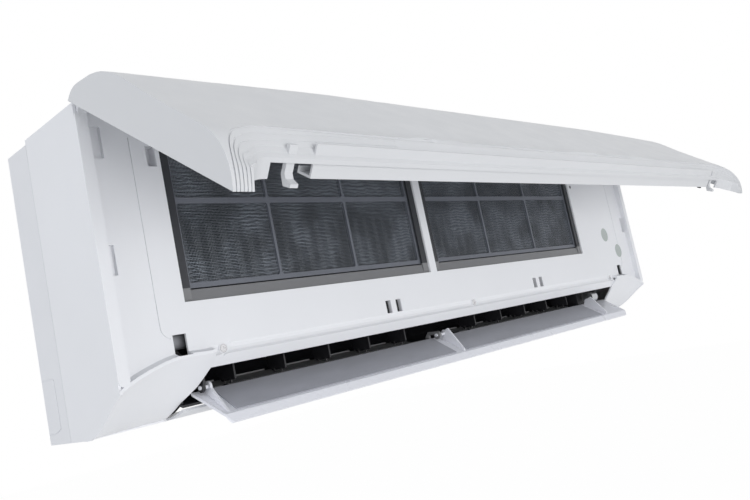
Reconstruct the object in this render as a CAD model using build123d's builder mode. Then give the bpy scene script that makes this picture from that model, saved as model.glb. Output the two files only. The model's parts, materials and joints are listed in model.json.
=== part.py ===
from build123d import *
from math import cos, radians, sin, sqrt
import os

# Indoor unit of a split air conditioner that hangs on a wall, with its front panel
# raised and its air flap open. X runs along the unit, the front faces -Y, the wall is
# the plane Y = 0 and +Z is up. The origin is on the wall at half the unit's height.
# Heights in the sketches are counted from the underside; lengths are millimetres.

# ---- casing ---------------------------------------------------------------------
LENGTH = 1050.0
HEIGHT = 290.0
HALF = LENGTH / 2
UNDERSIDE = -HEIGHT / 2
WALL = 2.5
SEAM_Y = -45.0
SEAM_GAP = 0.4
FACE_Y = -142.0
RIB_Y = -150.0
REAR_TOP = 285.5
BACK_Y = -15.0
CLEAR = 0.4
RUNNING = 0.05

# ---- air path -------------------------------------------------------------------
DUCT_LEFT = -440.0
DUCT_RIGHT = 350.0
CHAMBER_LEFT = DUCT_LEFT - WALL
CHAMBER_RIGHT = DUCT_RIGHT + WALL
WING_END = -CHAMBER_LEFT
TROUGH_H = 144.0
LIP_Y = -106.0
LIP_H = 11.0
SCROLL_TOP = (-29.1, 134.8)
SCROLL_BACK = (-14.5, 98.0)
SCROLL_TURN = (-21.4, 58.4)
SCROLL_FLOOR = (-60.0, 26.0)

# ---- fan ------------------------------------------------------------------------
FAN_Y = -60.0
FAN_H = 98.0
FAN_R = 41.0
FAN_HUB_R = 31.0
FAN_BLADES = 24
FAN_SEGMENTS = 4
FAN_LEFT = DUCT_LEFT + 6
FAN_RIGHT = DUCT_RIGHT - 6
SHAFT_R = 4.0

# ---- filters --------------------------------------------------------------------
OPENING_BOTTOM = 105.6
OPENING_TOP = 268.0
OPENINGS = {"left": (-444.0, -78.0), "right": (-65.0, 335.0)}
FILTER_INSET = 8.0
FILTER_BOTTOM = 118.5
FILTER_TOP = 276.0
FILTER_Y = -136.0
FILTER_THICK = 4.6
FILTER_REACH = -72.0

# ---- raised panel ---------------------------------------------------------------
PANEL_ANGLE = 55.5
PANEL_HALF = 530.0
PANEL_RIM_Y = -151.4
PANEL_RIM_H = 289.5
PANEL_PROFILE = [
    (0, 0), (2.5, 8.5), (16.6, 22.7), (43, 38), (75, 46.5),
    (120, 50), (180, 44), (215, 34), (232, 22), (245, 0),
]
PANEL_DROP = 245.0
PANEL_RISE = 50.0
PANEL_ROUND = 22.0
PANEL_SKIN = 2.4
CUT_HALF = 506.0
CUT_START = 215.0
CUT_ROUND = 28.0
LIP_DROP = 14.0
HINGE_Y = -148.5
HINGE_H = 286.5
HINGE_PIN_R = 2.0
HINGE_EYE_R = 4.1

# ---- air flap -------------------------------------------------------------------
FLAP_Y = -119.0
FLAP_H = 25.0
FLAP_PIN_R = 2.0

# ---- refrigerant pipes ----------------------------------------------------------
PIPE_R = {"gas_pipe": 6.35, "liquid_pipe": 3.175}
PIPE_RUN_Y = {"gas_pipe": -44.0, "liquid_pipe": -28.0}
PIPE_RUN_H = {"gas_pipe": 20.0, "liquid_pipe": 14.0}

# ---- screws of the front frame ---------------------------------------------------
SCREW_X = [-411.0, 0.0, 411.0]
SCREW_H = 57.5
SCREW_R = 1.9
SCREW_HEAD_R = 3.8
SCREW_SEAT_Y = -140.0

# ---- vertical vanes -------------------------------------------------------------
VANE_PITCH = 67.0
VANE_COUNT = 5
VANE_FIRST = {"left": -375.0, "right": 48.0}
VANE_Y = -82.0
VANE_ARM = 12.0
VANE_PIN_R = 1.5
VANE_MOTOR_X = [VANE_FIRST["left"], VANE_FIRST["right"] + (VANE_COUNT - 1) * VANE_PITCH]

os.makedirs("parts", exist_ok=True)


def across(x):
    """Plane across the unit at x, with Y and the height above the underside as axes."""
    return Plane(origin=(x, 0, UNDERSIDE), x_dir=(0, 1, 0), z_dir=(1, 0, 0))


def facing(y):
    """Plane that faces forwards at y, with X and the height above the underside as axes."""
    return Plane(origin=(0, y, UNDERSIDE), x_dir=(1, 0, 0), z_dir=(0, -1, 0))


def level(height):
    """Horizontal plane at a height above the underside."""
    return Plane.XY.offset(UNDERSIDE + height)


# ---- mounting plate: pressed sheet screwed to the wall, with hooks on top --------
PLATE_SHEET = 1.2
PLATE_HALF = 400.0
PLATE_BOTTOM = 40.0
PLATE_TOP = 262.0
PLATE_SCREW_X = 300.0
PLATE_SCREW_LOW = 70.0
PLATE_SCREW_HIGH = 230.0
PLATE_HOLE_R = 2.6
HOOK_X = [-340.0, 0.0, 340.0]
HOOK_HALF = 12.0
HOOK_H = 243.0
HOOK_REACH = -20.0

with BuildPart() as mounting_plate:
    with BuildSketch(facing(0)):
        with Locations((0, (PLATE_BOTTOM + PLATE_TOP) / 2)):
            RectangleRounded(2 * PLATE_HALF, PLATE_TOP - PLATE_BOTTOM, 10)
        for side in (-1, 1):
            with Locations(
                (side * PLATE_SCREW_X, PLATE_SCREW_LOW), (side * PLATE_SCREW_X, PLATE_SCREW_HIGH)
            ):
                Circle(PLATE_HOLE_R, mode=Mode.SUBTRACT)
            with Locations((side * 200, 150)):
                RectangleRounded(120, 90, 12, mode=Mode.SUBTRACT)
        with Locations((0, 100)):
            RectangleRounded(150, 60, 12, mode=Mode.SUBTRACT)
    extrude(amount=PLATE_SHEET)
    with BuildSketch(across(-PLATE_HALF + 12)):
        for flange in (PLATE_TOP - PLATE_SHEET, PLATE_BOTTOM):
            with Locations((-PLATE_SHEET, flange)):
                Rectangle(6, PLATE_SHEET, align=(Align.MAX, Align.MIN))
    extrude(amount=2 * PLATE_HALF - 24)
    for hook_x in HOOK_X:
        with BuildSketch(across(hook_x - HOOK_HALF)):
            with BuildLine():
                Polyline((-0.6, HOOK_H - 0.6), (HOOK_REACH, HOOK_H - 0.6), (HOOK_REACH, HOOK_H + 12))
            trace(line_width=PLATE_SHEET)
        extrude(amount=2 * HOOK_HALF)
mounting_plate.part.label = "mounting_plate"
export_step(mounting_plate.part, "parts/mounting_plate.step")

# ---- rear chassis: back wall, floor, ends and underside of the outlet --------------
KNOCKOUT_TOP = 61.0
KNOCKOUT_BOTTOM = 10.0
OUTLET_EDGE = (-104.6, 7.6)

with BuildPart() as rear_chassis:
    # back wall with the top ledge, and the floor
    with BuildSketch(across(-HALF + WALL)):
        with BuildLine():
            Polyline(
                (SEAM_Y + SEAM_GAP, REAR_TOP - WALL / 2), (BACK_Y, REAR_TOP - WALL / 2),
                (BACK_Y, TROUGH_H),
            )
        trace(line_width=WALL)
        with Locations((BACK_Y, REAR_TOP)):
            Rectangle(-BACK_Y - 0.5, WALL, align=(Align.MIN, Align.MAX))
        with Locations((-0.5, 0)):
            Rectangle(-SEAM_Y - SEAM_GAP - 0.5, WALL, align=(Align.MAX, Align.MIN))
    extrude(amount=LENGTH - 2 * WALL)
    # back wall of the compartments beside the fan chamber
    for wall_left, wall_right in ((-HALF + WALL, CHAMBER_LEFT), (CHAMBER_RIGHT, HALF - WALL)):
        with BuildSketch(facing(BACK_Y + WALL / 2)):
            with Locations((wall_left, 1)):
                Rectangle(wall_right - wall_left, TROUGH_H + 1, align=(Align.MIN, Align.MIN))
        extrude(amount=WALL)
    # underside of the outlet, rising towards the lower lip
    with BuildSketch(across(CHAMBER_LEFT)):
        with BuildLine():
            underside = Line((SEAM_Y + 2, WALL / 2), (-70, WALL / 2))
            TangentArc(underside @ 1, OUTLET_EDGE, tangent=(-1, 0))
        trace(line_width=WALL)
    extrude(amount=WING_END - CHAMBER_LEFT)
    # end plates, each with a knock-out for the pipes
    for plate_x, line_x in ((-HALF, -HALF), (HALF - WALL, HALF - 0.6)):
        with BuildSketch(across(plate_x)):
            with BuildLine():
                Polyline(
                    (-0.5, 0), (SEAM_Y + SEAM_GAP, 0), (SEAM_Y + SEAM_GAP, REAR_TOP),
                    (-0.5, REAR_TOP), close=True,
                )
            make_face()
        extrude(amount=WALL)
        with BuildSketch(across(line_x)):
            with BuildLine():
                Polyline(
                    (-1, KNOCKOUT_TOP), (-26, KNOCKOUT_TOP), (-28, KNOCKOUT_TOP - 2),
                    (-28, KNOCKOUT_BOTTOM + 4), (-16, KNOCKOUT_BOTTOM), (-1, KNOCKOUT_BOTTOM),
                )
            trace(line_width=0.8)
        extrude(amount=0.6, mode=Mode.SUBTRACT)
    # windows that the hooks of the mounting plate pass through
    with BuildSketch(facing(BACK_Y + WALL)):
        for hook_x in HOOK_X:
            with Locations((hook_x, HOOK_H + 0.2)):
                Rectangle(2 * HOOK_HALF + 6, 24, align=(Align.CENTER, Align.MAX))
    extrude(amount=2 * WALL, mode=Mode.SUBTRACT)
rear_chassis.part.label = "rear_chassis"
export_step(rear_chassis.part, "parts/rear_chassis.step")

# ---- air duct: black scroll behind the fan, drain trough, ribs and chamber ends ----
RIB_PITCH = 158.0
BEARING_R = 11.0
HUB_HOLE_R = 16.0
DUCT_TOP = TROUGH_H - WALL

with BuildPart() as air_duct:
    # drain trough under the rear of the coil
    with BuildSketch(across(CHAMBER_LEFT)):
        with BuildLine():
            Polyline((BACK_Y - WALL, TROUGH_H), (-36, TROUGH_H), (-42, TROUGH_H + 8))
        trace(line_width=WALL)
        # scroll from the trough round the fan to the lower lip of the outlet
        with BuildLine():
            rise = Line((-33, TROUGH_H), SCROLL_TOP)
            back = ThreePointArc(rise @ 1, SCROLL_BACK, SCROLL_TURN)
            turn = TangentArc(back @ 1, SCROLL_FLOOR, tangent=back % 1)
            Line(turn @ 1, (LIP_Y, LIP_H))
        trace(line_width=WALL)
    extrude(amount=CHAMBER_RIGHT - CHAMBER_LEFT)
    # ribs between the scroll and the wall
    rib_count = int((CHAMBER_RIGHT - CHAMBER_LEFT) / RIB_PITCH) + 1
    for index in range(rib_count):
        with BuildSketch(across(CHAMBER_LEFT + index * RIB_PITCH)):
            with BuildLine():
                Polyline(
                    (BACK_Y, DUCT_TOP), (BACK_Y, 96), (-21, 60), (-33, 43), (-60, 27),
                    (-60, 22), (-40, 34), (-28, 44), (-10, 62), (-10, DUCT_TOP), close=True,
                )
            make_face()
        extrude(amount=WALL)
    # walls at both ends of the fan chamber
    for wall_x, hole_r in ((CHAMBER_LEFT, BEARING_R + CLEAR), (DUCT_RIGHT, HUB_HOLE_R)):
        with BuildSketch(across(wall_x)):
            with BuildLine():
                Polyline(
                    (BACK_Y + WALL / 2, WALL + 0.1), (BACK_Y + WALL / 2, DUCT_TOP),
                    (BACK_Y - WALL / 2 - 0.1, DUCT_TOP), (BACK_Y - WALL / 2 - 0.1, TROUGH_H + 6),
                    (-100, TROUGH_H + 6), (-103, 74), (-103, 14), (-86, 6.4),
                    (-70, WALL + 0.1), close=True,
                )
            make_face()
            with Locations((FAN_Y, FAN_H)):
                Circle(hole_r, mode=Mode.SUBTRACT)
        extrude(amount=WALL)
    # the pipes leave through the right-hand wall
    with BuildSketch(across(DUCT_RIGHT - 1)):
        for pipe_name, pipe_r in PIPE_R.items():
            with Locations((PIPE_RUN_Y[pipe_name], PIPE_RUN_H[pipe_name])):
                Circle(pipe_r + 1, mode=Mode.ADD)
    extrude(amount=WALL + 2, mode=Mode.SUBTRACT)
    # holes for the shafts of the vane motors
    with BuildSketch(level(8)):
        with Locations(*[(motor_x, VANE_Y) for motor_x in VANE_MOTOR_X]):
            Circle(3.5)
    extrude(amount=20, mode=Mode.SUBTRACT)
air_duct.part.label = "air_duct"
export_step(air_duct.part, "parts/air_duct.step")

# ---- drain pan: foam-filled trough under the coil and roof of the outlet ---------
PAN_FRONT = -137.0
PAN_TOP = 99.0
PAN_TONGUE = (-99.5, 70.5)

with BuildPart() as drain_pan:
    with BuildSketch(across(DUCT_LEFT + 0.2)):
        with BuildLine():
            Polyline(
                (PAN_FRONT, PAN_TOP), (PAN_FRONT + WALL, PAN_TOP), (PAN_FRONT + WALL, 86),
                (-110, 79), (-110, 90), (-107.5, 90), (-107.5, 75), PAN_TONGUE,
                (-131, 46.2), (PAN_FRONT, 50.5), close=True,
            )
        make_face()
    extrude(amount=DUCT_RIGHT - DUCT_LEFT - 0.4)
    # black closing piece beside the duct, behind the end of the flap
    with BuildSketch(across(CHAMBER_RIGHT + 0.2)):
        with BuildLine():
            Polyline(
                (PAN_FRONT, 60), (PAN_FRONT, 50.5), (-131, 46.2), (-104, 40), (-101, 10),
                (-98.5, 10), (-101, 43), (-128, 52), (-128, 60), close=True,
            )
        make_face()
    extrude(amount=421 - CHAMBER_RIGHT)
    with BuildSketch(across(DUCT_RIGHT - 0.4)):
        with Locations(((PAN_FRONT - 128) / 2, 54)):
            Rectangle(6, 8)
    extrude(amount=10)
    # arm that carries the left-hand pin of the flap, and the plate of the flap's motor
    for arm_x, arm_wide, arm_hole in ((-428.5, 2.5, FLAP_PIN_R + RUNNING), (378.3, 2.5, 0)):
        with BuildSketch(across(arm_x)):
            with Locations((FLAP_Y, FLAP_H)):
                Circle(5)
            with BuildLine():
                Polyline((-124, FLAP_H), (-126, 50), (-112, 64), (-114, FLAP_H), close=True)
            make_face()
            if arm_hole:
                with Locations((FLAP_Y, FLAP_H)):
                    Circle(arm_hole, mode=Mode.SUBTRACT)
        extrude(amount=arm_wide)
    # bores for the screws of the front frame
    with BuildSketch(facing(-128)):
        with Locations(*[(screw_x, SCREW_H) for screw_x in SCREW_X]):
            Circle(SCREW_R + 0.1)
    extrude(amount=12, mode=Mode.SUBTRACT)
drain_pan.part.label = "drain_pan"
export_step(drain_pan.part, "parts/drain_pan.step")

# ---- fan: bladed rotor in segments, on a shaft at each end ------------------------
with BuildSketch() as fan_blade:
    with BuildLine():
        ThreePointArc((FAN_HUB_R, -0.7), (37.4, 0.5), (FAN_R - 1, 4.4))
        Line((FAN_R - 1, 4.4), (FAN_R - 1.6, 5.6))
        ThreePointArc((FAN_R - 1.6, 5.6), (36.7, 1.9), (FAN_HUB_R, 0.6))
        Line((FAN_HUB_R, 0.6), (FAN_HUB_R, -0.7))
    make_face()

with BuildPart() as cross_flow_fan:
    with BuildSketch(across(FAN_LEFT)):
        with Locations((FAN_Y, FAN_H)):
            with PolarLocations(0, FAN_BLADES):
                add(fan_blade.sketch)
    extrude(amount=FAN_RIGHT - FAN_LEFT)
    disc_pitch = (FAN_RIGHT - FAN_LEFT - WALL) / FAN_SEGMENTS
    for index in range(FAN_SEGMENTS + 1):
        solid_disc = index in (0, FAN_SEGMENTS)
        with BuildSketch(across(FAN_LEFT + index * disc_pitch)):
            with Locations((FAN_Y, FAN_H)):
                Circle(FAN_R)
                Circle(SHAFT_R if solid_disc else FAN_HUB_R - 2, mode=Mode.SUBTRACT)
        extrude(amount=WALL)
    # hub that grips the motor's shaft
    with BuildSketch(across(FAN_RIGHT)):
        with Locations((FAN_Y, FAN_H)):
            Circle(10)
            Circle(SHAFT_R, mode=Mode.SUBTRACT)
    extrude(amount=12)
cross_flow_fan.part.label = "cross_flow_fan"
export_step(cross_flow_fan.part, "parts/cross_flow_fan.step")

MOTOR_LEFT = 366.0
MOTOR_LONG = 52.0
MOTOR_R = 35.0

with BuildPart() as fan_shafts:
    for start, reach in ((FAN_LEFT - 22, 26), (FAN_RIGHT, MOTOR_LEFT + 20 - FAN_RIGHT)):
        with BuildSketch(across(start)):
            with Locations((FAN_Y, FAN_H)):
                Circle(SHAFT_R)
        extrude(amount=reach)
fan_shafts.part.label = "fan_shafts"
export_step(fan_shafts.part, "parts/fan_shafts.step")

with BuildPart() as shaft_bearing:
    with BuildSketch(across(CHAMBER_LEFT - 8)):
        with Locations((FAN_Y, FAN_H)):
            Circle(BEARING_R)
            Circle(SHAFT_R + RUNNING, mode=Mode.SUBTRACT)
    extrude(amount=12)
shaft_bearing.part.label = "shaft_bearing"
export_step(shaft_bearing.part, "parts/shaft_bearing.step")

with BuildPart() as bearing_holder:
    with BuildSketch(across(CHAMBER_LEFT - 7)):
        with Locations((FAN_Y, FAN_H)):
            RegularPolygon(20, 6)
            Circle(BEARING_R, mode=Mode.SUBTRACT)
    extrude(amount=6.8)
bearing_holder.part.label = "bearing_holder"
export_step(bearing_holder.part, "parts/bearing_holder.step")

with BuildPart() as fan_motor:
    with BuildSketch(across(MOTOR_LEFT)):
        with Locations((FAN_Y, FAN_H)):
            Circle(MOTOR_R)
    extrude(amount=MOTOR_LONG)
    chamfer(fan_motor.edges().filter_by(GeomType.CIRCLE), 4)
    with BuildSketch(across(MOTOR_LEFT - 4)):
        with Locations((FAN_Y, FAN_H)):
            Circle(12)
    extrude(amount=6)
    with BuildSketch(across(MOTOR_LEFT - 4)):
        with Locations((FAN_Y, FAN_H)):
            Circle(SHAFT_R + RUNNING)
    extrude(amount=26, mode=Mode.SUBTRACT)
fan_motor.part.label = "fan_motor"
export_step(fan_motor.part, "parts/fan_motor.step")

with BuildPart() as motor_clamp:
    with BuildSketch(across(MOTOR_LEFT + 14)):
        with BuildLine():
            ThreePointArc(
                (FAN_Y + MOTOR_R + 1.2, FAN_H), (FAN_Y, FAN_H + MOTOR_R + 1.2),
                (FAN_Y - MOTOR_R - 1.2, FAN_H),
            )
            Line((FAN_Y - MOTOR_R - 1.2, FAN_H), (FAN_Y - MOTOR_R - 1.2, 14))
        trace(line_width=2)
        with Locations((FAN_Y - MOTOR_R + 3, 13)):
            Rectangle(12, 2.5)
    extrude(amount=24)
motor_clamp.part.label = "motor_clamp"
export_step(motor_clamp.part, "parts/motor_clamp.step")

# ---- evaporator: three fin packs round the fan, tube plates and return bends ------
COIL_THICK = 19.0
COIL_LEFT = DUCT_LEFT + 12
COIL_RIGHT = DUCT_RIGHT - 12
# centre line of each pack in section: lower end, upper end
COIL_LINES = {
    "evaporator_front": ((-116.5, 92), (-116.5, 184)),
    "evaporator_upper": ((-113.0, 193), (-72.0, 252)),
    "evaporator_rear": ((-51.0, 254), (-29.0, 160)),
}
TUBE_PITCH = 21.0
TUBE_R = 3.5


def pack_outline(line, thick):
    """Rectangle of a fin pack round its centre line, in the plane across the unit."""
    (y0, h0), (y1, h1) = line
    length = sqrt((y1 - y0) ** 2 + (h1 - h0) ** 2)
    off_y = -(h1 - h0) / length * thick / 2
    off_h = (y1 - y0) / length * thick / 2
    return [(y0 + off_y, h0 + off_h), (y1 + off_y, h1 + off_h),
            (y1 - off_y, h1 - off_h), (y0 - off_y, h0 - off_h)]


def tube_places(line):
    """Centres of the tubes of one row along a fin pack."""
    (y0, h0), (y1, h1) = line
    length = sqrt((y1 - y0) ** 2 + (h1 - h0) ** 2)
    count = int(length / TUBE_PITCH)
    steps = [(index + 0.5) / count for index in range(count)]
    return [(y0 + (y1 - y0) * step, h0 + (h1 - h0) * step) for step in steps]


for pack_name, pack_line in COIL_LINES.items():
    with BuildPart() as fin_pack:
        with BuildSketch(across(COIL_LEFT)):
            with BuildLine():
                Polyline(*pack_outline(pack_line, COIL_THICK), close=True)
            make_face()
        extrude(amount=COIL_RIGHT - COIL_LEFT)
    fin_pack.part.label = pack_name
    export_step(fin_pack.part, f"parts/{pack_name}.step")

with BuildPart() as tube_plates:
    for plate_x in (COIL_LEFT - 1.7, COIL_RIGHT + 0.2):
        for pack_line in COIL_LINES.values():
            with BuildSketch(across(plate_x)):
                with BuildLine():
                    Polyline(*pack_outline(pack_line, COIL_THICK + 3), close=True)
                make_face()
            extrude(amount=1.5)
tube_plates.part.label = "tube_plates"
export_step(tube_plates.part, "parts/tube_plates.step")

with BuildPart() as return_bends:
    for pack_line in COIL_LINES.values():
        places = tube_places(pack_line)
        for first, second in zip(places[0::2], places[1::2]):
            middle_y = (first[0] + second[0]) / 2
            middle_h = UNDERSIDE + (first[1] + second[1]) / 2
            reach = sqrt((second[0] - first[0]) ** 2 + (second[1] - first[1]) ** 2) / 2
            start = COIL_LEFT - 1.7
            with BuildLine() as bend:
                straight = Line((start, first[0], UNDERSIDE + first[1]),
                                (start - 4, first[0], UNDERSIDE + first[1]))
                turn = ThreePointArc(straight @ 1, (start - 4 - reach, middle_y, middle_h),
                                     (start - 4, second[0], UNDERSIDE + second[1]))
                Line(turn @ 1, (start, second[0], UNDERSIDE + second[1]))
            with BuildSketch(Plane(origin=bend.line @ 0, z_dir=(-1, 0, 0))):
                RegularPolygon(TUBE_R, 8)
            sweep(path=bend.wires()[0])
return_bends.part.label = "return_bends"
export_step(return_bends.part, "parts/return_bends.step")

# ---- refrigerant pipes: from the coil through the channel behind the scroll --------
PIPE_END = {"gas_pipe": 40.0, "liquid_pipe": 90.0}
PIPE_TURN_X = {"gas_pipe": 452.0, "liquid_pipe": 426.0}
PIPE_RISE = {"gas_pipe": 200.0, "liquid_pipe": 182.0}
PIPE_COIL_Y = {"gas_pipe": -39.0, "liquid_pipe": -35.0}
PIPE_OUT_Y = {"gas_pipe": -24.0, "liquid_pipe": -18.0}

for pipe_name, pipe_r in PIPE_R.items():
    pipe_y = PIPE_RUN_Y[pipe_name]
    pipe_h = UNDERSIDE + PIPE_RUN_H[pipe_name]
    rise_h = UNDERSIDE + PIPE_RISE[pipe_name]
    with BuildPart() as pipe:
        with BuildLine() as route:
            FilletPolyline(
                (PIPE_END[pipe_name], PIPE_OUT_Y[pipe_name], pipe_h),
                (PIPE_END[pipe_name], pipe_y, pipe_h),
                (PIPE_TURN_X[pipe_name], pipe_y, pipe_h),
                (PIPE_TURN_X[pipe_name], PIPE_COIL_Y[pipe_name], rise_h),
                (COIL_RIGHT + 2, PIPE_COIL_Y[pipe_name], rise_h),
                radius=2.5 * pipe_r,
            )
        with BuildSketch(Plane(origin=route.line @ 0, z_dir=(0, -1, 0))):
            Circle(pipe_r)
        sweep(path=route.wires()[0])
    pipe.part.label = pipe_name
    export_step(pipe.part, f"parts/{pipe_name}.step")

# flare unions on the free ends, that point at the wall: hexagon and threaded spout
UNION_FLAT = {"gas_pipe": 12.0, "liquid_pipe": 8.5}
UNION_THREAD_R = {"gas_pipe": 9.525, "liquid_pipe": 5.556}
UNION_THREAD = {"gas_pipe": 15.0, "liquid_pipe": 12.0}
UNION_END_Y = -1.0

with BuildPart() as flare_nuts:
    for pipe_name, flat in UNION_FLAT.items():
        union_x = PIPE_END[pipe_name]
        union_h = PIPE_RUN_H[pipe_name]
        thread_y = UNION_END_Y - UNION_THREAD[pipe_name]
        with BuildSketch(facing(thread_y)):
            with Locations((union_x, union_h)):
                RegularPolygon(flat, 6, major_radius=False)
        extrude(amount=thread_y - PIPE_OUT_Y[pipe_name])
        with BuildSketch(facing(UNION_END_Y)):
            with Locations((union_x, union_h)):
                Circle(UNION_THREAD_R[pipe_name])
        extrude(amount=UNION_THREAD[pipe_name])
flare_nuts.part.label = "flare_nuts"
export_step(flare_nuts.part, "parts/flare_nuts.step")

# ---- front frame: the white cover that the panel closes over ----------------------
INLET_HALF = 450.0
INLET_FRONT = -128.0
INLET_BACK = -58.0
FACE_LOW = 62.0
LENSES = [(430.0, 134.0), (470.0, 103.0)]
LENS_R = 12.0
BUTTON_PLACE = (345.0, 222.0)
BUTTON_R = 2.5
CLIP_X = [-161.0, 173.0]
CLIP_H = 70.5
CLIP_SLOT = (9.0, 15.0)
CLIP_APART = 18.0
LATCH_X = 456.0
LATCH_H = 67.0
LATCH_WIDE = 8.0
GUIDE_SLOT = (453.0, 246.0)
GUIDE_SLOT_SIZE = (10.0, 20.0)
RAIL_WIDE = 11.0
RAIL_LONG = 242.0
RAIL_H = 161.0
WING_OUTER = [(-70, 0), (-94, 2.5), (-128, 22), (-149.5, 34)]
WING_INNER = [(-70, 0.8), (-95, 9.5), (-124, 31), (-149.5, 54.8)]
WING_RIGHT = -424.0
# how far the wing's section has turned from the outer one to the inner one
WING_TURN = {-525.0: 0.0, -515.0: 0.27, -490.0: 0.7, -466.0: 0.96, -445.0: 1.0, -424.0: 1.0}
EDGE_DEEP = 2.0
# pockets in the face: distance from the middle, height, width, height of the pocket
POCKETS = [(505.5, 256.8, 11.0, 29.5), (509.8, 149.5, 9.5, 27.0)]
SEAM_X = 474.0
SEAM_DEEP = 0.9
RECESS = (409.0, 57.0)
RECESS_SIZE = (17.0, 6.5)
RECESS_TURN = -40.0
EAR_R = 3.8


def wing_section(turn):
    """Lower outline of the wing's section, part of the way from the outer to the inner one."""
    return [(outer[0] + (inner[0] - outer[0]) * turn, outer[1] + (inner[1] - outer[1]) * turn)
            for outer, inner in zip(WING_OUTER, WING_INNER)]


def thick_curve(points, thick):
    """Closed outline of a skin that lies above a curve, for a loft."""
    with BuildLine() as outline:
        lower = Spline(*points)
        upper = Spline(*[(y, h + thick) for y, h in points])
        Line(lower @ 0, upper @ 0)
        Line(lower @ 1, upper @ 1)
    return outline.line


with BuildPart() as wing:
    for wing_x, turn in WING_TURN.items():
        with BuildSketch(across(wing_x)):
            add(thick_curve(wing_section(turn), WALL + 0.5))
            make_face()
    loft()
    # the inner end leans outwards towards the wall
    with BuildSketch(facing(-60)):
        with BuildLine():
            Polyline((WING_RIGHT + 1, 60), (WING_RIGHT, 43), (-432, 27), (-443, 15),
                     (-445, 9), (-447, -4), (WING_RIGHT + 1, -4), close=True)
        make_face()
    extrude(amount=100, mode=Mode.SUBTRACT)

# ledge from the wing's front edge back to the face
with BuildPart() as wing_ledge:
    for wing_x, turn in WING_TURN.items():
        front_y, front_h = wing_section(turn)[-1]
        with BuildSketch(across(wing_x)):
            with BuildLine():
                Polyline((front_y, front_h), (front_y + 0.4, front_h + EDGE_DEEP + 0.6),
                         (FACE_Y + 1, front_h + 6), (FACE_Y + 1, front_h + 1), close=True)
            make_face()
    loft()

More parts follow.
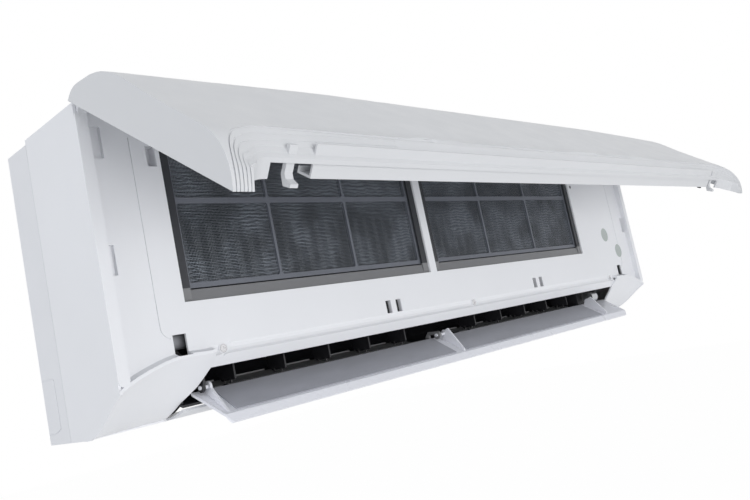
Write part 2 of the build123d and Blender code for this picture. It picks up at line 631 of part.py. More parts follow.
with BuildPart() as front_frame:
    # sides
    for side_x in (-HALF, HALF - WALL):
        with BuildSketch(across(side_x)):
            with BuildLine():
                Polyline((SEAM_Y, 0), (-70, 0))
                Spline(*wing_section(0))
                Polyline((-149.5, 34), (-148, 39), (-148, HEIGHT), (SEAM_Y, HEIGHT), (SEAM_Y, 0))
            make_face()
        extrude(amount=WALL)
    # top with the air inlet
    with BuildSketch(level(HEIGHT - WALL)):
        with Locations((0, (SEAM_Y + FACE_Y) / 2)):
            Rectangle(LENGTH, SEAM_Y - FACE_Y)
        with Locations((0, (INLET_BACK + INLET_FRONT) / 2)):
            Rectangle(2 * INLET_HALF, INLET_BACK - INLET_FRONT, mode=Mode.SUBTRACT)
    extrude(amount=WALL)
    # face with the two filter openings
    with BuildSketch(facing(FACE_Y + WALL)):
        with Locations((0, (FACE_LOW + HEIGHT) / 2)):
            Rectangle(LENGTH - 2 * WALL + 1, HEIGHT - FACE_LOW)
        for left, right in OPENINGS.values():
            with Locations(((left + right) / 2, (OPENING_BOTTOM + OPENING_TOP) / 2)):
                Rectangle(right - left, OPENING_TOP - OPENING_BOTTOM, mode=Mode.SUBTRACT)
        with Locations(*LENSES):
            Circle(LENS_R + 0.1, mode=Mode.SUBTRACT)
        with Locations(BUTTON_PLACE):
            Circle(BUTTON_R + CLEAR, mode=Mode.SUBTRACT)
    extrude(amount=WALL)
    # face above the wings, down to their ledges
    for side in (-1, 1):
        with BuildSketch(facing(FACE_Y + WALL)):
            with BuildLine():
                Polyline(
                    (side * (HALF - WALL + 0.5), FACE_LOW + 1), (side * -WING_RIGHT, FACE_LOW + 1),
                    *[(side * -wing_x, wing_section(turn)[-1][1] + 2.5)
                      for wing_x, turn in reversed(WING_TURN.items()) if wing_x > -HALF],
                    (side * (HALF - WALL + 0.5), 40), close=True,
                )
            make_face()
        extrude(amount=WALL)
    # lip above the outlet: a shallow cove, a crisp edge and a band that leans back
    with BuildSketch(across(WING_RIGHT - 1)):
        with BuildLine():
            Polyline((FACE_Y, FACE_LOW + 1), (FACE_Y + 0.9, 60.5), (FACE_Y + 1.3, 57.5),
                     (FACE_Y + 0.7, 54.5), (FACE_Y - 1, 51.8), (-133.6, 41.9),
                     (-132.1, 43.4), (FACE_Y + 0.8, 52.9), (FACE_Y + 3, 55),
                     (FACE_Y + 3.8, 57.5), (FACE_Y + 3.4, 60.5), (FACE_Y + WALL, FACE_LOW + 1),
                     close=True)
        make_face()
    extrude(amount=2 * (1 - WING_RIGHT))
    add(wing.part)
    add(wing.part.mirror(Plane.YZ))
    add(wing_ledge.part)
    add(wing_ledge.part.mirror(Plane.YZ))
    # floor between the seam and the wings, at the ends only
    for side in (-1, 1):
        inner = WING_END + CLEAR
        with BuildSketch(level(0)):
            with Locations((side * (HALF + inner) / 2, (SEAM_Y - 74) / 2)):
                Rectangle(HALF - inner, 74 + SEAM_Y)
        extrude(amount=WALL)
    # rails at both ends, that the panel shuts against
    for side in (-1, 1):
        with BuildSketch(facing(FACE_Y + WALL)):
            with Locations((side * (HALF - RAIL_WIDE / 2), RAIL_H)):
                SlotOverall(RAIL_LONG, RAIL_WIDE, rotation=90)
        extrude(amount=FACE_Y + WALL - RIB_Y)
        # pockets in the face beside the rail, and the line of a hidden edge
        with BuildSketch(facing(FACE_Y + WALL + 1)):
            for pocket_x, pocket_h, pocket_wide, pocket_high in POCKETS:
                with Locations((side * pocket_x, pocket_h)):
                    Rectangle(pocket_wide, pocket_high)
        extrude(amount=WALL + 2, mode=Mode.SUBTRACT)
        with BuildSketch(facing(FACE_Y + SEAM_DEEP)):
            with BuildLine():
                line = Line((side * SEAM_X, 263), (side * SEAM_X, 85))
                TangentArc(line @ 1, (side * (SEAM_X - 9), 74), tangent=(0, -1))
            trace(line_width=1)
        extrude(amount=SEAM_DEEP + 1, mode=Mode.SUBTRACT)
        # recess at the end of the lip
        with BuildSketch(facing(FACE_Y + SEAM_DEEP)):
            with Locations((side * RECESS[0], RECESS[1])):
                SlotOverall(*RECESS_SIZE, rotation=side * RECESS_TURN)
        extrude(amount=SEAM_DEEP + 3, mode=Mode.SUBTRACT)
    # ears and pins of the panel's hinge
    for side in (-1, 1):
        with BuildSketch(across(side * 518 - 4)):
            with Locations((HINGE_Y, HINGE_H)):
                Circle(EAR_R)
            with BuildLine():
                Polyline((HINGE_Y, HINGE_H + EAR_R - 0.3), (-140, HINGE_H + 3), (-140, 272),
                         (-148, 274), (HINGE_Y - EAR_R + 0.3, HINGE_H - 1), close=True)
            make_face()
        extrude(amount=8)
        with BuildSketch(across(side * 508 - 6)):
            with Locations((HINGE_Y, HINGE_H)):
                Circle(HINGE_PIN_R)
        extrude(amount=12)
    # slots: clips of the frame, guides of the panel, and the panel's latches
    with BuildSketch(facing(FACE_Y + WALL + 1)):
        for clip_x in CLIP_X:
            for offset_x in (-CLIP_APART / 2, CLIP_APART / 2):
                with Locations((clip_x + offset_x, CLIP_H)):
                    Rectangle(*CLIP_SLOT)
        for side in (-1, 1):
            with Locations((side * GUIDE_SLOT[0], GUIDE_SLOT[1])):
                Rectangle(*GUIDE_SLOT_SIZE)
            with Locations((side * LATCH_X, LATCH_H)):
                Rectangle(LATCH_WIDE + 6, 20)
    extrude(amount=14, mode=Mode.SUBTRACT)
    # bosses for the screws
    with BuildSketch(facing(PAN_FRONT - CLEAR)):
        with Locations(*[(screw_x, SCREW_H) for screw_x in SCREW_X]):
            Circle(SCREW_HEAD_R + 1.6)
    extrude(amount=PAN_FRONT - CLEAR - FACE_Y)
    with BuildSketch(facing(PAN_FRONT + 1)):
        with Locations(*[(screw_x, SCREW_H) for screw_x in SCREW_X]):
            Circle(SCREW_R + 0.3)
    extrude(amount=10, mode=Mode.SUBTRACT)
    with BuildSketch(facing(SCREW_SEAT_Y)):
        with Locations(*[(screw_x, SCREW_H) for screw_x in SCREW_X]):
            Circle(SCREW_HEAD_R + 0.3)
    extrude(amount=6, mode=Mode.SUBTRACT)
front_frame.part.label = "front_frame"
export_step(front_frame.part, "parts/front_frame.step")

# ---- filter guides: dark ledge below the filters and channels they slide in --------
GUIDE_FRONT = FACE_Y + WALL
GUIDE_DEEP = 4.0

with BuildPart() as filter_guides:
    with BuildSketch(across(OPENINGS["left"][0] - 3)):
        with BuildLine():
            Polyline((GUIDE_FRONT, OPENING_BOTTOM - 3), (GUIDE_FRONT, OPENING_BOTTOM),
                     (FILTER_Y - CLEAR - 0.6, FILTER_BOTTOM - 1.5),
                     (FILTER_Y + FILTER_THICK + 1, FILTER_BOTTOM - 1.5),
                     (FILTER_Y + FILTER_THICK + 1, FILTER_BOTTOM - 3),
                     (FILTER_Y + 1, FILTER_BOTTOM - 3),
                     (GUIDE_FRONT + 2, OPENING_BOTTOM - 3), close=True)
        make_face()
    extrude(amount=OPENINGS["right"][1] - OPENINGS["left"][0] + 6)
    for left, right in OPENINGS.values():
        for guide_x, inward in ((left, 1), (right, -1)):
            with BuildSketch(level(OPENING_BOTTOM + 2)):
                with BuildLine():
                    outer = guide_x - inward * 2.2
                    lip_x = guide_x + inward * (FILTER_INSET + 2)
                    Polyline(
                        (outer, GUIDE_FRONT), (lip_x, GUIDE_FRONT),
                        (lip_x, FILTER_Y - CLEAR - 0.6), (guide_x, FILTER_Y - CLEAR - 0.6),
                        (guide_x, FILTER_Y + FILTER_THICK + GUIDE_DEEP),
                        (outer, FILTER_Y + FILTER_THICK + GUIDE_DEEP), close=True,
                    )
                make_face()
            extrude(amount=OPENING_TOP - OPENING_BOTTOM + 3)
filter_guides.part.label = "filter_guides"
export_step(filter_guides.part, "parts/filter_guides.step")

# ---- top grille: bars across the air inlet ----------------------------------------
GRILLE_BARS = 28
GRILLE_LONG_BARS = 4

with BuildPart() as inlet_grille:
    with BuildSketch(level(HEIGHT - 2 * WALL)):
        with Locations((0, (INLET_BACK + INLET_FRONT) / 2)):
            Rectangle(2 * INLET_HALF + 8, INLET_BACK - INLET_FRONT + 8)
            Rectangle(2 * INLET_HALF - 6, INLET_BACK - INLET_FRONT - 6, mode=Mode.SUBTRACT)
            with GridLocations(2 * INLET_HALF / (GRILLE_BARS + 1), 0, GRILLE_BARS, 1):
                Rectangle(2, INLET_BACK - INLET_FRONT)
            with GridLocations(0, (INLET_BACK - INLET_FRONT) / (GRILLE_LONG_BARS + 1),
                               1, GRILLE_LONG_BARS):
                Rectangle(2 * INLET_HALF, 1.6)
    extrude(amount=WALL - 0.1)
inlet_grille.part.label = "inlet_grille"
export_step(inlet_grille.part, "parts/inlet_grille.step")

# ---- filters: a frame that bends back under the grille, and its mesh --------------
FILTER_BEND_R = 16.0
FILTER_BAR = 3.0
FILTER_RIM = 5.0
FILTER_CROSS_H = 204.5
FILTER_MID_Y = FILTER_Y + FILTER_THICK / 2
FILTER_MID_H = FILTER_TOP - FILTER_THICK / 2
FILTER_MESH = 0.8


for filter_side, (opening_left, opening_right) in OPENINGS.items():
    filter_left = opening_left + FILTER_INSET
    filter_right = opening_right - FILTER_INSET
    filter_mid = (filter_left + filter_right) / 2
    filter_wide = filter_right - filter_left
    with BuildPart() as filter_frame:
        with BuildSketch(across(filter_left)):
            with BuildLine():
                FilletPolyline((FILTER_MID_Y, FILTER_BOTTOM), (FILTER_MID_Y, FILTER_MID_H),
                               (FILTER_REACH, FILTER_MID_H), radius=FILTER_BEND_R)
            trace(line_width=FILTER_THICK)
        extrude(amount=filter_wide)
        pane = (filter_wide - 2 * FILTER_RIM - 2 * FILTER_BAR) / 3
        with BuildSketch(facing(FILTER_Y + FILTER_THICK + 1)):
            for low, high in (
                (FILTER_BOTTOM + FILTER_RIM, FILTER_CROSS_H - FILTER_BAR),
                (FILTER_CROSS_H + FILTER_BAR, FILTER_TOP - FILTER_BEND_R - 5),
            ):
                with Locations((filter_mid, (low + high) / 2)):
                    with GridLocations(pane + FILTER_BAR, 0, 3, 1):
                        RectangleRounded(pane, high - low, 3)
        extrude(amount=FILTER_THICK + 2, mode=Mode.SUBTRACT)
        with BuildSketch(level(FILTER_TOP - FILTER_THICK - 1)):
            with Locations((filter_mid, (FILTER_Y + FILTER_BEND_R + 6 + FILTER_REACH) / 2)):
                with GridLocations(pane + FILTER_BAR, 0, 3, 1):
                    Rectangle(pane, FILTER_REACH - FILTER_Y - FILTER_BEND_R - 12)
        extrude(amount=FILTER_THICK + 2, mode=Mode.SUBTRACT)
    filter_frame.part.label = f"filter_frame_{filter_side}"
    export_step(filter_frame.part, f"parts/filter_frame_{filter_side}.step")
    with BuildPart() as filter_mesh:
        with BuildSketch(across(filter_left + FILTER_RIM)):
            with BuildLine():
                FilletPolyline((FILTER_MID_Y, FILTER_BOTTOM + FILTER_RIM), (FILTER_MID_Y, FILTER_MID_H),
                               (FILTER_REACH - FILTER_RIM, FILTER_MID_H), radius=FILTER_BEND_R)
            trace(line_width=FILTER_MESH)
        extrude(amount=filter_wide - 2 * FILTER_RIM)
        add(filter_frame.part, mode=Mode.SUBTRACT)
    filter_mesh.part.label = f"filter_mesh_{filter_side}"
    export_step(filter_mesh.part, f"parts/filter_mesh_{filter_side}.step")

# ---- front panel: deep shell with a stepped cut-out between its two legs ----------
RAISED = radians(PANEL_ANGLE)
PANEL_DOWN = (0, -sin(RAISED), -cos(RAISED))
PANEL_OUT = (0, -cos(RAISED), sin(RAISED))
PANEL_STATIONS = [PANEL_ROUND * (1 - cos(radians(18 * step))) for step in range(6)]


def panel_across(x):
    """Plane across the raised panel at x: distance down the panel and out of its rim."""
    origin = (x, PANEL_RIM_Y, UNDERSIDE + PANEL_RIM_H)
    return Plane(origin=origin, x_dir=PANEL_DOWN, z_dir=(-1, 0, 0))


def panel_facing(out):
    """Plane parallel to the panel's rim: X, and minus the distance down, as axes."""
    origin = (0, PANEL_RIM_Y, UNDERSIDE + PANEL_RIM_H)
    return Plane(origin=origin, x_dir=(1, 0, 0), z_dir=PANEL_OUT).offset(out)


def panel_fullness(from_end):
    """Share of the panel's full depth at a distance from its end, as its end rounds over."""
    inward = max(PANEL_ROUND - from_end, 0)
    return 1 - (PANEL_ROUND - sqrt(PANEL_ROUND**2 - inward**2)) / PANEL_RISE


def panel_outline(x, inset):
    """Face of the panel's section at x, drawn in by inset all round but at its rim."""
    fullness = panel_fullness(PANEL_HALF - inset - abs(x))
    deep = fullness * (PANEL_RISE - inset) / PANEL_RISE
    shrink = (PANEL_DROP - 2 * inset) / PANEL_DROP
    with BuildSketch(panel_across(x), mode=Mode.PRIVATE) as outline:
        with BuildLine():
            curve = Spline(*[(inset + down * shrink, out * deep) for down, out in PANEL_PROFILE])
            Line(curve @ 0, curve @ 1)
        make_face()
    return outline.sketch


def panel_form(inset):
    """Solid inside the panel's outer surface, drawn in by inset but at its rim."""
    places = [PANEL_HALF - inset - station for station in PANEL_STATIONS]
    middle = extrude(panel_outline(places[-1], inset), amount=2 * places[-1])
    left = loft([panel_outline(-place, inset) for place in places])
    right = loft([panel_outline(place, inset) for place in places])
    return middle + left + right


def cut_outline(grow):
    """Outline of the opening between the panel's legs, grown outwards."""
    half = CUT_HALF + grow
    start = -CUT_START + grow
    with BuildSketch(panel_facing(-5)) as outline:
        with BuildLine():
            FilletPolyline((-half, -PANEL_DROP - 10), (-half, start), (half, start),
                           (half, -PANEL_DROP - 10), radius=CUT_ROUND + grow, close=False)
            Line((-half, -PANEL_DROP - 10), (half, -PANEL_DROP - 10))
        make_face()
    return outline.sketch


outer_form = panel_form(0)
inner_form = panel_form(PANEL_SKIN)
cut_form = extrude(cut_outline(0), amount=PANEL_RISE + 20)
cut_wall = extrude(cut_outline(PANEL_SKIN), amount=PANEL_RISE + 20) & outer_form

STEP_COUNT = 5
STEP_FIRST = 2.6
STEP_PITCH = 4.2
STEP_WIDE = 1.4
STEP_DEEP = 0.9
STEP_MIDDLE = 330.0
step_layer = outer_form - panel_form(STEP_DEEP)


def step_groove(step):
    """Shallow groove round the cut; only the outermost goes on along the middle."""
    near = STEP_FIRST + STEP_PITCH * step
    ring = extrude(cut_outline(near + STEP_WIDE) - cut_outline(near), amount=PANEL_RISE + 20)
    if step < STEP_COUNT - 1:
        ring -= Box(2 * STEP_MIDDLE, 2 * LENGTH, 2 * LENGTH)
    return ring & step_layer


step_grooves = [step_groove(step) for step in range(STEP_COUNT)]

with BuildPart() as front_panel:
    add(outer_form)
    add(inner_form, mode=Mode.SUBTRACT)
    add(cut_wall)
    add(cut_form, mode=Mode.SUBTRACT)
    # steps that run round the corners of the cut and down the legs
    for groove in step_grooves:
        add(groove, mode=Mode.SUBTRACT)
    # the lip between the legs stops short of the rim
    with BuildSketch(panel_facing(-1)):
        with Locations((0, -CUT_START + 2)):
            Rectangle(2 * (CUT_HALF - CUT_ROUND), 10)
    extrude(amount=LIP_DROP + 1, mode=Mode.SUBTRACT)
    # arms with the eyes that turn on the frame's pins
    for eye_x in (-505.5, 512.5):
        with BuildSketch(panel_across(eye_x)):
            with BuildLine():
                Polyline((-0.7, 0), (3.2, 0.6), (14, 13), (34, 23), (34, 0), (1.4, -7.6),
                         (-0.7, -4.1), close=True)
            make_face()
        extrude(amount=7)
        with BuildSketch(across(eye_x)):
            with Locations((HINGE_Y, HINGE_H)):
                Circle(HINGE_EYE_R)
        extrude(amount=-7)
        with BuildSketch(across(eye_x)):
            with Locations((HINGE_Y, HINGE_H)):
                Circle(HINGE_PIN_R + RUNNING)
        extrude(amount=-7, mode=Mode.SUBTRACT)
front_panel.part.label = "front_panel"
export_step(front_panel.part, "parts/front_panel.step")

STIFF_LEFT = -433.0
STIFF_RIGHT = 446.0
STIFF_DOWN = CUT_START - PANEL_SKIN - CLEAR

with BuildPart() as panel_stiffener:
    with BuildSketch(panel_across(STIFF_RIGHT)):
        with BuildLine():
            Polyline((STIFF_DOWN - 1, 28), (STIFF_DOWN - 1, 1), (STIFF_DOWN - 15, 1),
                     (STIFF_DOWN - 15, 6))
        trace(line_width=2)
    extrude(amount=STIFF_RIGHT - STIFF_LEFT)
panel_stiffener.part.label = "panel_stiffener"
export_step(panel_stiffener.part, "parts/panel_stiffener.step")

with BuildPart() as panel_latches:
    for side in (-1, 1):
        with BuildSketch(panel_across(side * LATCH_X + LATCH_WIDE / 2)):
            with BuildLine():
                Polyline((208, 26), (208, 2), (213, -6), (221, -5), (221, -2), (214.6, 0),
                         (212, 4), (212, 26), close=True)
            make_face()
        extrude(amount=LATCH_WIDE)
panel_latches.part.label = "panel_latches"
export_step(panel_latches.part, "parts/panel_latches.step")

with BuildPart() as panel_bumper:
    with BuildSketch(panel_facing(-4)):
        with Locations((STIFF_RIGHT - 10, -STIFF_DOWN + 8)):
            Circle(3.5)
    extrude(amount=3.9)
    chamfer(panel_bumper.faces().sort_by(Axis.Z)[0].edges(), 1)
panel_bumper.part.label = "panel_bumper"
export_step(panel_bumper.part, "parts/panel_bumper.step")

# ---- air flap: blade, lining, brackets with their pins, support and motor ---------
FLAP_REAR = (-109.0, 22.0)
FLAP_CREASE = (-148.0, -3.0)
FLAP_NOSE = (-151.2, -11.0)
FLAP_SKIN = 2.6
FLAP_END = 434.5
FLAP_FRONT_END = 424.0
FLAP_CORNER = 13.0
FLAP_LENGTH = sqrt((FLAP_CREASE[0] - FLAP_REAR[0]) ** 2 + (FLAP_CREASE[1] - FLAP_REAR[1]) ** 2)
FLAP_ALONG = ((FLAP_CREASE[0] - FLAP_REAR[0]) / FLAP_LENGTH,
              (FLAP_CREASE[1] - FLAP_REAR[1]) / FLAP_LENGTH)


def on_flap(along, above):
    """Point on the flap's section: distance from its rear edge, and above its inner face."""
    return (FLAP_REAR[0] + FLAP_ALONG[0] * along + FLAP_ALONG[1] * above,
            FLAP_REAR[1] + FLAP_ALONG[1] * along - FLAP_ALONG[0] * above)


with BuildPart() as flap_blade:
    with BuildSketch(across(-FLAP_END)):
        with BuildLine():
            Polyline(FLAP_REAR, FLAP_CREASE, FLAP_NOSE, (-149.4, -12.2),
                     on_flap(FLAP_LENGTH + 0.6, -FLAP_SKIN), on_flap(2, -FLAP_SKIN),
                     on_flap(0, -1), close=True)
        make_face()
    extrude(amount=2 * FLAP_END)
    # the ends lean in towards the nose and are rounded there
    flap_plane = Plane(origin=(0, FLAP_REAR[0], UNDERSIDE + FLAP_REAR[1]), x_dir=(1, 0, 0),
                       z_dir=(0, -FLAP_ALONG[1], FLAP_ALONG[0]))
    with BuildSketch(flap_plane.offset(-20)):
        Rectangle(4 * FLAP_END, 8 * FLAP_LENGTH)
        with BuildLine():
            FilletPolyline((-FLAP_END, -5), (-FLAP_FRONT_END, FLAP_LENGTH + 9),
                           (FLAP_FRONT_END, FLAP_LENGTH + 9), (FLAP_END, -5), radius=FLAP_CORNER)
            Line((FLAP_END, -5), (-FLAP_END, -5))
        make_face(mode=Mode.SUBTRACT)
    extrude(amount=40, mode=Mode.SUBTRACT)
flap_blade.part.label = "flap_blade"
export_step(flap_blade.part, "parts/flap_blade.step")

PAD_SPANS = [(-411.0, -66.0), (-40.0, 343.0)]

with BuildPart() as flap_pads:
    for pad_left, pad_right in PAD_SPANS:
        with BuildSketch(across(pad_left)):
            with BuildLine():
                Polyline(on_flap(2, 0.1), on_flap(FLAP_LENGTH - 3, 0.1),
                         on_flap(FLAP_LENGTH - 3, 1.3), on_flap(2, 1.3), close=True)
            make_face()
        extrude(amount=pad_right - pad_left)
flap_pads.part.label = "flap_pads"
export_step(flap_pads.part, "parts/flap_pads.step")

FIN_LEFT = -421.0
FIN_MID = -50.0
FIN_RIGHT = 354.0
FIN_THICK = 2.5

with BuildPart() as flap_brackets:
    for fin_x, apex, front in (
        (FIN_LEFT, on_flap(12, 9), on_flap(FLAP_LENGTH - 4, 0.6)),
        (FIN_MID, (-126.5, 31), on_flap(FLAP_LENGTH - 4, 3)),
        (FIN_RIGHT, (-126.0, 32), on_flap(FLAP_LENGTH - 2, 5)),
    ):
        with BuildSketch(across(fin_x)):
            with BuildLine():
                Polyline(on_flap(3, 0.1), (FLAP_Y + 4.4, FLAP_H + 2), apex, front,
                         on_flap(FLAP_LENGTH - 2, 0.1), close=True)
            make_face()
            with Locations((FLAP_Y, FLAP_H)):
                Circle(5)
        extrude(amount=FIN_THICK)
    for pin_start, pin_end in (
        (-430, FIN_LEFT + 1), (FIN_MID - 17, FIN_MID + 1), (FIN_RIGHT + 1, FIN_RIGHT + 20)
    ):
        with BuildSketch(across(pin_start)):
            with Locations((FLAP_Y, FLAP_H)):
                Circle(FLAP_PIN_R)
        extrude(amount=pin_end - pin_start)
flap_brackets.part.label = "flap_brackets"
export_step(flap_brackets.part, "parts/flap_brackets.step")

SUPPORT_X = -65.0

with BuildPart() as flap_support:
    with BuildSketch(across(SUPPORT_X)):
        with BuildLine():
            Polyline((-118, FLAP_H + 4.8), (-105, 31), (-100, 26), (-96, 18.5),
                     (-104.5, 14.8), (-105, 26.4), (-115, 26.6), close=True)
        make_face()
        with Locations((FLAP_Y, FLAP_H)):
            Circle(5)
            Circle(FLAP_PIN_R + RUNNING, mode=Mode.SUBTRACT)
    extrude(amount=4)
    with BuildSketch(across(SUPPORT_X - 40)):
        with Locations((-101.5, 20)):
            Rectangle(5, 4, rotation=20)
    extrude(amount=42)
flap_support.part.label = "flap_support"
export_step(flap_support.part, "parts/flap_support.step")

FLAP_MOTOR_X = 359.0

with BuildPart() as flap_motor:
    with BuildSketch(across(FLAP_MOTOR_X)):
        with Locations((FLAP_Y + 1, FLAP_H + 6.5)):
            Circle(10)
        with Locations((FLAP_Y, FLAP_H)):
            Circle(FLAP_PIN_R + RUNNING, mode=Mode.SUBTRACT)
    extrude(amount=19)
flap_motor.part.label = "flap_motor"
export_step(flap_motor.part, "parts/flap_motor.step")

# ---- vertical vanes: their bases, blades, link bars and motors --------------------
BASE_LOW_Y = -89.0
BASE_HIGH_Y = -68.5
BASE_LOW_H = 19.6
BASE_HIGH_H = 25.6
BASE_THICK = 3.0
BASE_TEETH = 29.5
NOTCH_WIDE = 11.0
VANE_BOTTOM = 25.8


def vane_places(side):
    """X of each vane of a side, from left to right."""
    return [VANE_FIRST[side] + index * VANE_PITCH for index in range(VANE_COUNT)]


with BuildPart() as vane_bases:
    for side in VANE_FIRST:
        places = vane_places(side)
        base_left = places[0] - 24
        base_long = places[-1] - places[0] + 48
        with BuildSketch(across(base_left)):
            with BuildLine():
                Polyline((BASE_LOW_Y, BASE_LOW_H), (BASE_HIGH_Y, BASE_HIGH_H),
                         (BASE_HIGH_Y, BASE_TEETH), (BASE_HIGH_Y - 2, BASE_TEETH),
                         (BASE_HIGH_Y - 2, BASE_HIGH_H + BASE_THICK - 0.6),
                         (BASE_LOW_Y, BASE_LOW_H + BASE_THICK), close=True)
            make_face()
        extrude(amount=base_long)
        with BuildSketch(level(0)):
            for vane_x in places:
                with Locations((vane_x, VANE_Y)):
                    Circle(VANE_PIN_R + RUNNING)
        extrude(amount=40, mode=Mode.SUBTRACT)
        with BuildSketch(facing(BASE_HIGH_Y + 1)):
            for vane_x in places:
                with Locations((vane_x, BASE_TEETH + 1)):
                    Circle(NOTCH_WIDE / 2)
        extrude(amount=4, mode=Mode.SUBTRACT)
vane_bases.part.label = "vane_bases"
export_step(vane_bases.part, "parts/vane_bases.step")

for side in VANE_FIRST:
    for number, vane_x in enumerate(vane_places(side), 1):
        driven = vane_x in VANE_MOTOR_X
        with BuildPart() as vane:
            with BuildSketch(across(vane_x - 1)):
                with BuildLine():
                    Polyline((-72.5, 31), (-72.5, 46), (-84, 52), (-102, 54),
                             (-102, VANE_BOTTOM), (-79, VANE_BOTTOM), close=True)
                blade_face = make_face()
                fillet(blade_face.vertices(), 2)
            extrude(amount=2)
            with BuildSketch(level(12 if driven else 21.8)):
                with Locations((vane_x, VANE_Y)):
                    Circle(VANE_PIN_R)
            extrude(amount=VANE_BOTTOM + 3 - (12 if driven else 21.8))
            with BuildSketch(level(20.4)):
                with Locations((vane_x, VANE_Y - VANE_ARM)):
                    Circle(1.2)
            extrude(amount=VANE_BOTTOM + 3 - 20.4)
        vane.part.label = f"vane_{side}_{number}"
        export_step(vane.part, f"parts/vane_{side}_{number}.step")

    with BuildPart() as vane_link:
        places = vane_places(side)
        with BuildSketch(level(20.6)):
            with Locations(((places[0] + places[-1]) / 2, VANE_Y - VANE_ARM)):
                RectangleRounded(places[-1] - places[0] + 16, 7.5, 2)
            for vane_x in places:
                with Locations((vane_x, VANE_Y - VANE_ARM + 0.8)):
                    RectangleRounded(3.8, 5.2, 1.4, mode=Mode.SUBTRACT)
        extrude(amount=2.4)
    vane_link.part.label = f"vane_link_{side}"
    export_step(vane_link.part, f"parts/vane_link_{side}.step")

with BuildPart() as vane_motors:
    with BuildSketch(level(5)):
        for motor_x in VANE_MOTOR_X:
            with Locations((motor_x, VANE_Y + 2)):
                Circle(9)
    extrude(amount=9)
    with BuildSketch(level(9)):
        for motor_x in VANE_MOTOR_X:
            with Locations((motor_x, VANE_Y)):
                Circle(VANE_PIN_R + RUNNING)
    extrude(amount=8, mode=Mode.SUBTRACT)
vane_motors.part.label = "vane_motors"
export_step(vane_motors.part, "parts/vane_motors.step")

# ---- electrics in the right-hand compartment --------------------------------------
BOX_LEFT = 386.0
BOX_RIGHT = 512.0
BOX_LOW = 152.0
BOX_HIGH = 262.0
BOX_FRONT = -132.0
BOX_BACK = -64.0
BOX_WALL = 2.0
BOX_MID_X = (BOX_LEFT + BOX_RIGHT) / 2
BOX_MID_H = (BOX_LOW + BOX_HIGH) / 2

with BuildPart() as control_box:
    with BuildSketch(facing(BOX_BACK)):
        with Locations((BOX_MID_X, BOX_MID_H)):
            RectangleRounded(BOX_RIGHT - BOX_LEFT, BOX_HIGH - BOX_LOW, 4)
    extrude(amount=BOX_BACK - BOX_FRONT)
    with BuildSketch(facing(BOX_BACK - BOX_WALL)):
        with Locations((BOX_MID_X, BOX_MID_H)):
            RectangleRounded(BOX_RIGHT - BOX_LEFT - 2 * BOX_WALL, BOX_HIGH - BOX_LOW - 2 * BOX_WALL, 3)
    extrude(amount=BOX_BACK - BOX_FRONT, mode=Mode.SUBTRACT)
control_box.part.label = "control_box"
export_step(control_box.part, "parts/control_box.step")

with BuildPart() as control_cover:
    with BuildSketch(facing(BOX_FRONT - 0.2)):
        with Locations((BOX_MID_X, BOX_MID_H)):
            RectangleRounded(BOX_RIGHT - BOX_LEFT, BOX_HIGH - BOX_LOW, 4)
    extrude(amount=1.5)
    with BuildSketch(facing(BOX_FRONT + 3)):
        with Locations((BOX_MID_X, BOX_MID_H)):
            RectangleRounded(BOX_RIGHT - BOX_LEFT - 5, BOX_HIGH - BOX_LOW - 5, 3)
            RectangleRounded(BOX_RIGHT - BOX_LEFT - 9, BOX_HIGH - BOX_LOW - 9, 2, mode=Mode.SUBTRACT)
    extrude(amount=3.4)
control_cover.part.label = "control_cover"
export_step(control_cover.part, "parts/control_cover.step")

with BuildPart() as control_board:
    with BuildSketch(facing(BOX_BACK - 12)):
        with Locations((BOX_MID_X, BOX_MID_H)):
            Rectangle(112, 96)
    extrude(amount=1.6)
    with BuildSketch(facing(BOX_BACK - 13.6)):
        with Locations((BOX_LEFT + 32, BOX_LOW + 32)):
            Rectangle(34, 30)
    extrude(amount=26)
    with BuildSketch(facing(BOX_BACK - 13.6)):
        with Locations((BOX_LEFT + 34, BOX_HIGH - 32)):
            Circle(11)
        with Locations((BOX_RIGHT - 34, BOX_HIGH - 30)):
            Rectangle(28, 20)
        with Locations((BOX_RIGHT - 32, BOX_LOW + 36)):
            Rectangle(18, 14)
    extrude(amount=20)
control_board.part.label = "control_board"
export_step(control_board.part, "parts/control_board.step")

with BuildPart() as terminal_block:
    with BuildSketch(facing(-62)):
        with Locations((492, 118)):
            Rectangle(40, 26)
    extrude(amount=16)
    with BuildSketch(facing(-70)):
        with Locations((492, 118)):
            with GridLocations(9, 0, 4, 1):
                Rectangle(6.5, 20)
    extrude(amount=9, mode=Mode.SUBTRACT)
    with BuildSketch(facing(-18)):
        with Locations((492, 118)):
            Rectangle(8, 12)
    extrude(amount=45)
terminal_block.part.label = "terminal_block"
export_step(terminal_block.part, "parts/terminal_block.step")

with BuildPart() as display_board:
    with BuildSketch(facing(-132)):
        with Locations((450, 118)):
            RectangleRounded(80, 56, 4)
    extrude(amount=1.6)
    with BuildSketch(facing(-133.6)):
        with Locations(*LENSES):
            Rectangle(8, 8)
    extrude(amount=3)
display_board.part.label = "display_board"
export_step(display_board.part, "parts/display_board.step")

with BuildPart() as display_lenses:
    with BuildSketch(facing(FACE_Y + WALL + 1.5)):
        with Locations(*LENSES):
            Circle(LENS_R)
    extrude(amount=WALL + 1)
    with BuildSketch(facing(FACE_Y + WALL + 0.5)):
        with Locations(*LENSES):
            Circle(LENS_R + 2)
    extrude(amount=-1)
display_lenses.part.label = "display_lenses"
export_step(display_lenses.part, "parts/display_lenses.step")

BUTTON_TRAVEL = 1.5

with BuildPart() as emergency_button:
    with BuildSketch(facing(FACE_Y + 5.5)):
        with Locations(BUTTON_PLACE):
            Circle(BUTTON_R)
    extrude(amount=5.0)
    with BuildSketch(facing(FACE_Y + 5.5)):
        with Locations(BUTTON_PLACE):
            Circle(BUTTON_R + 1.5)
    extrude(amount=1.2)
emergency_button.part.label = "emergency_button"
export_step(emergency_button.part, "parts/emergency_button.step")

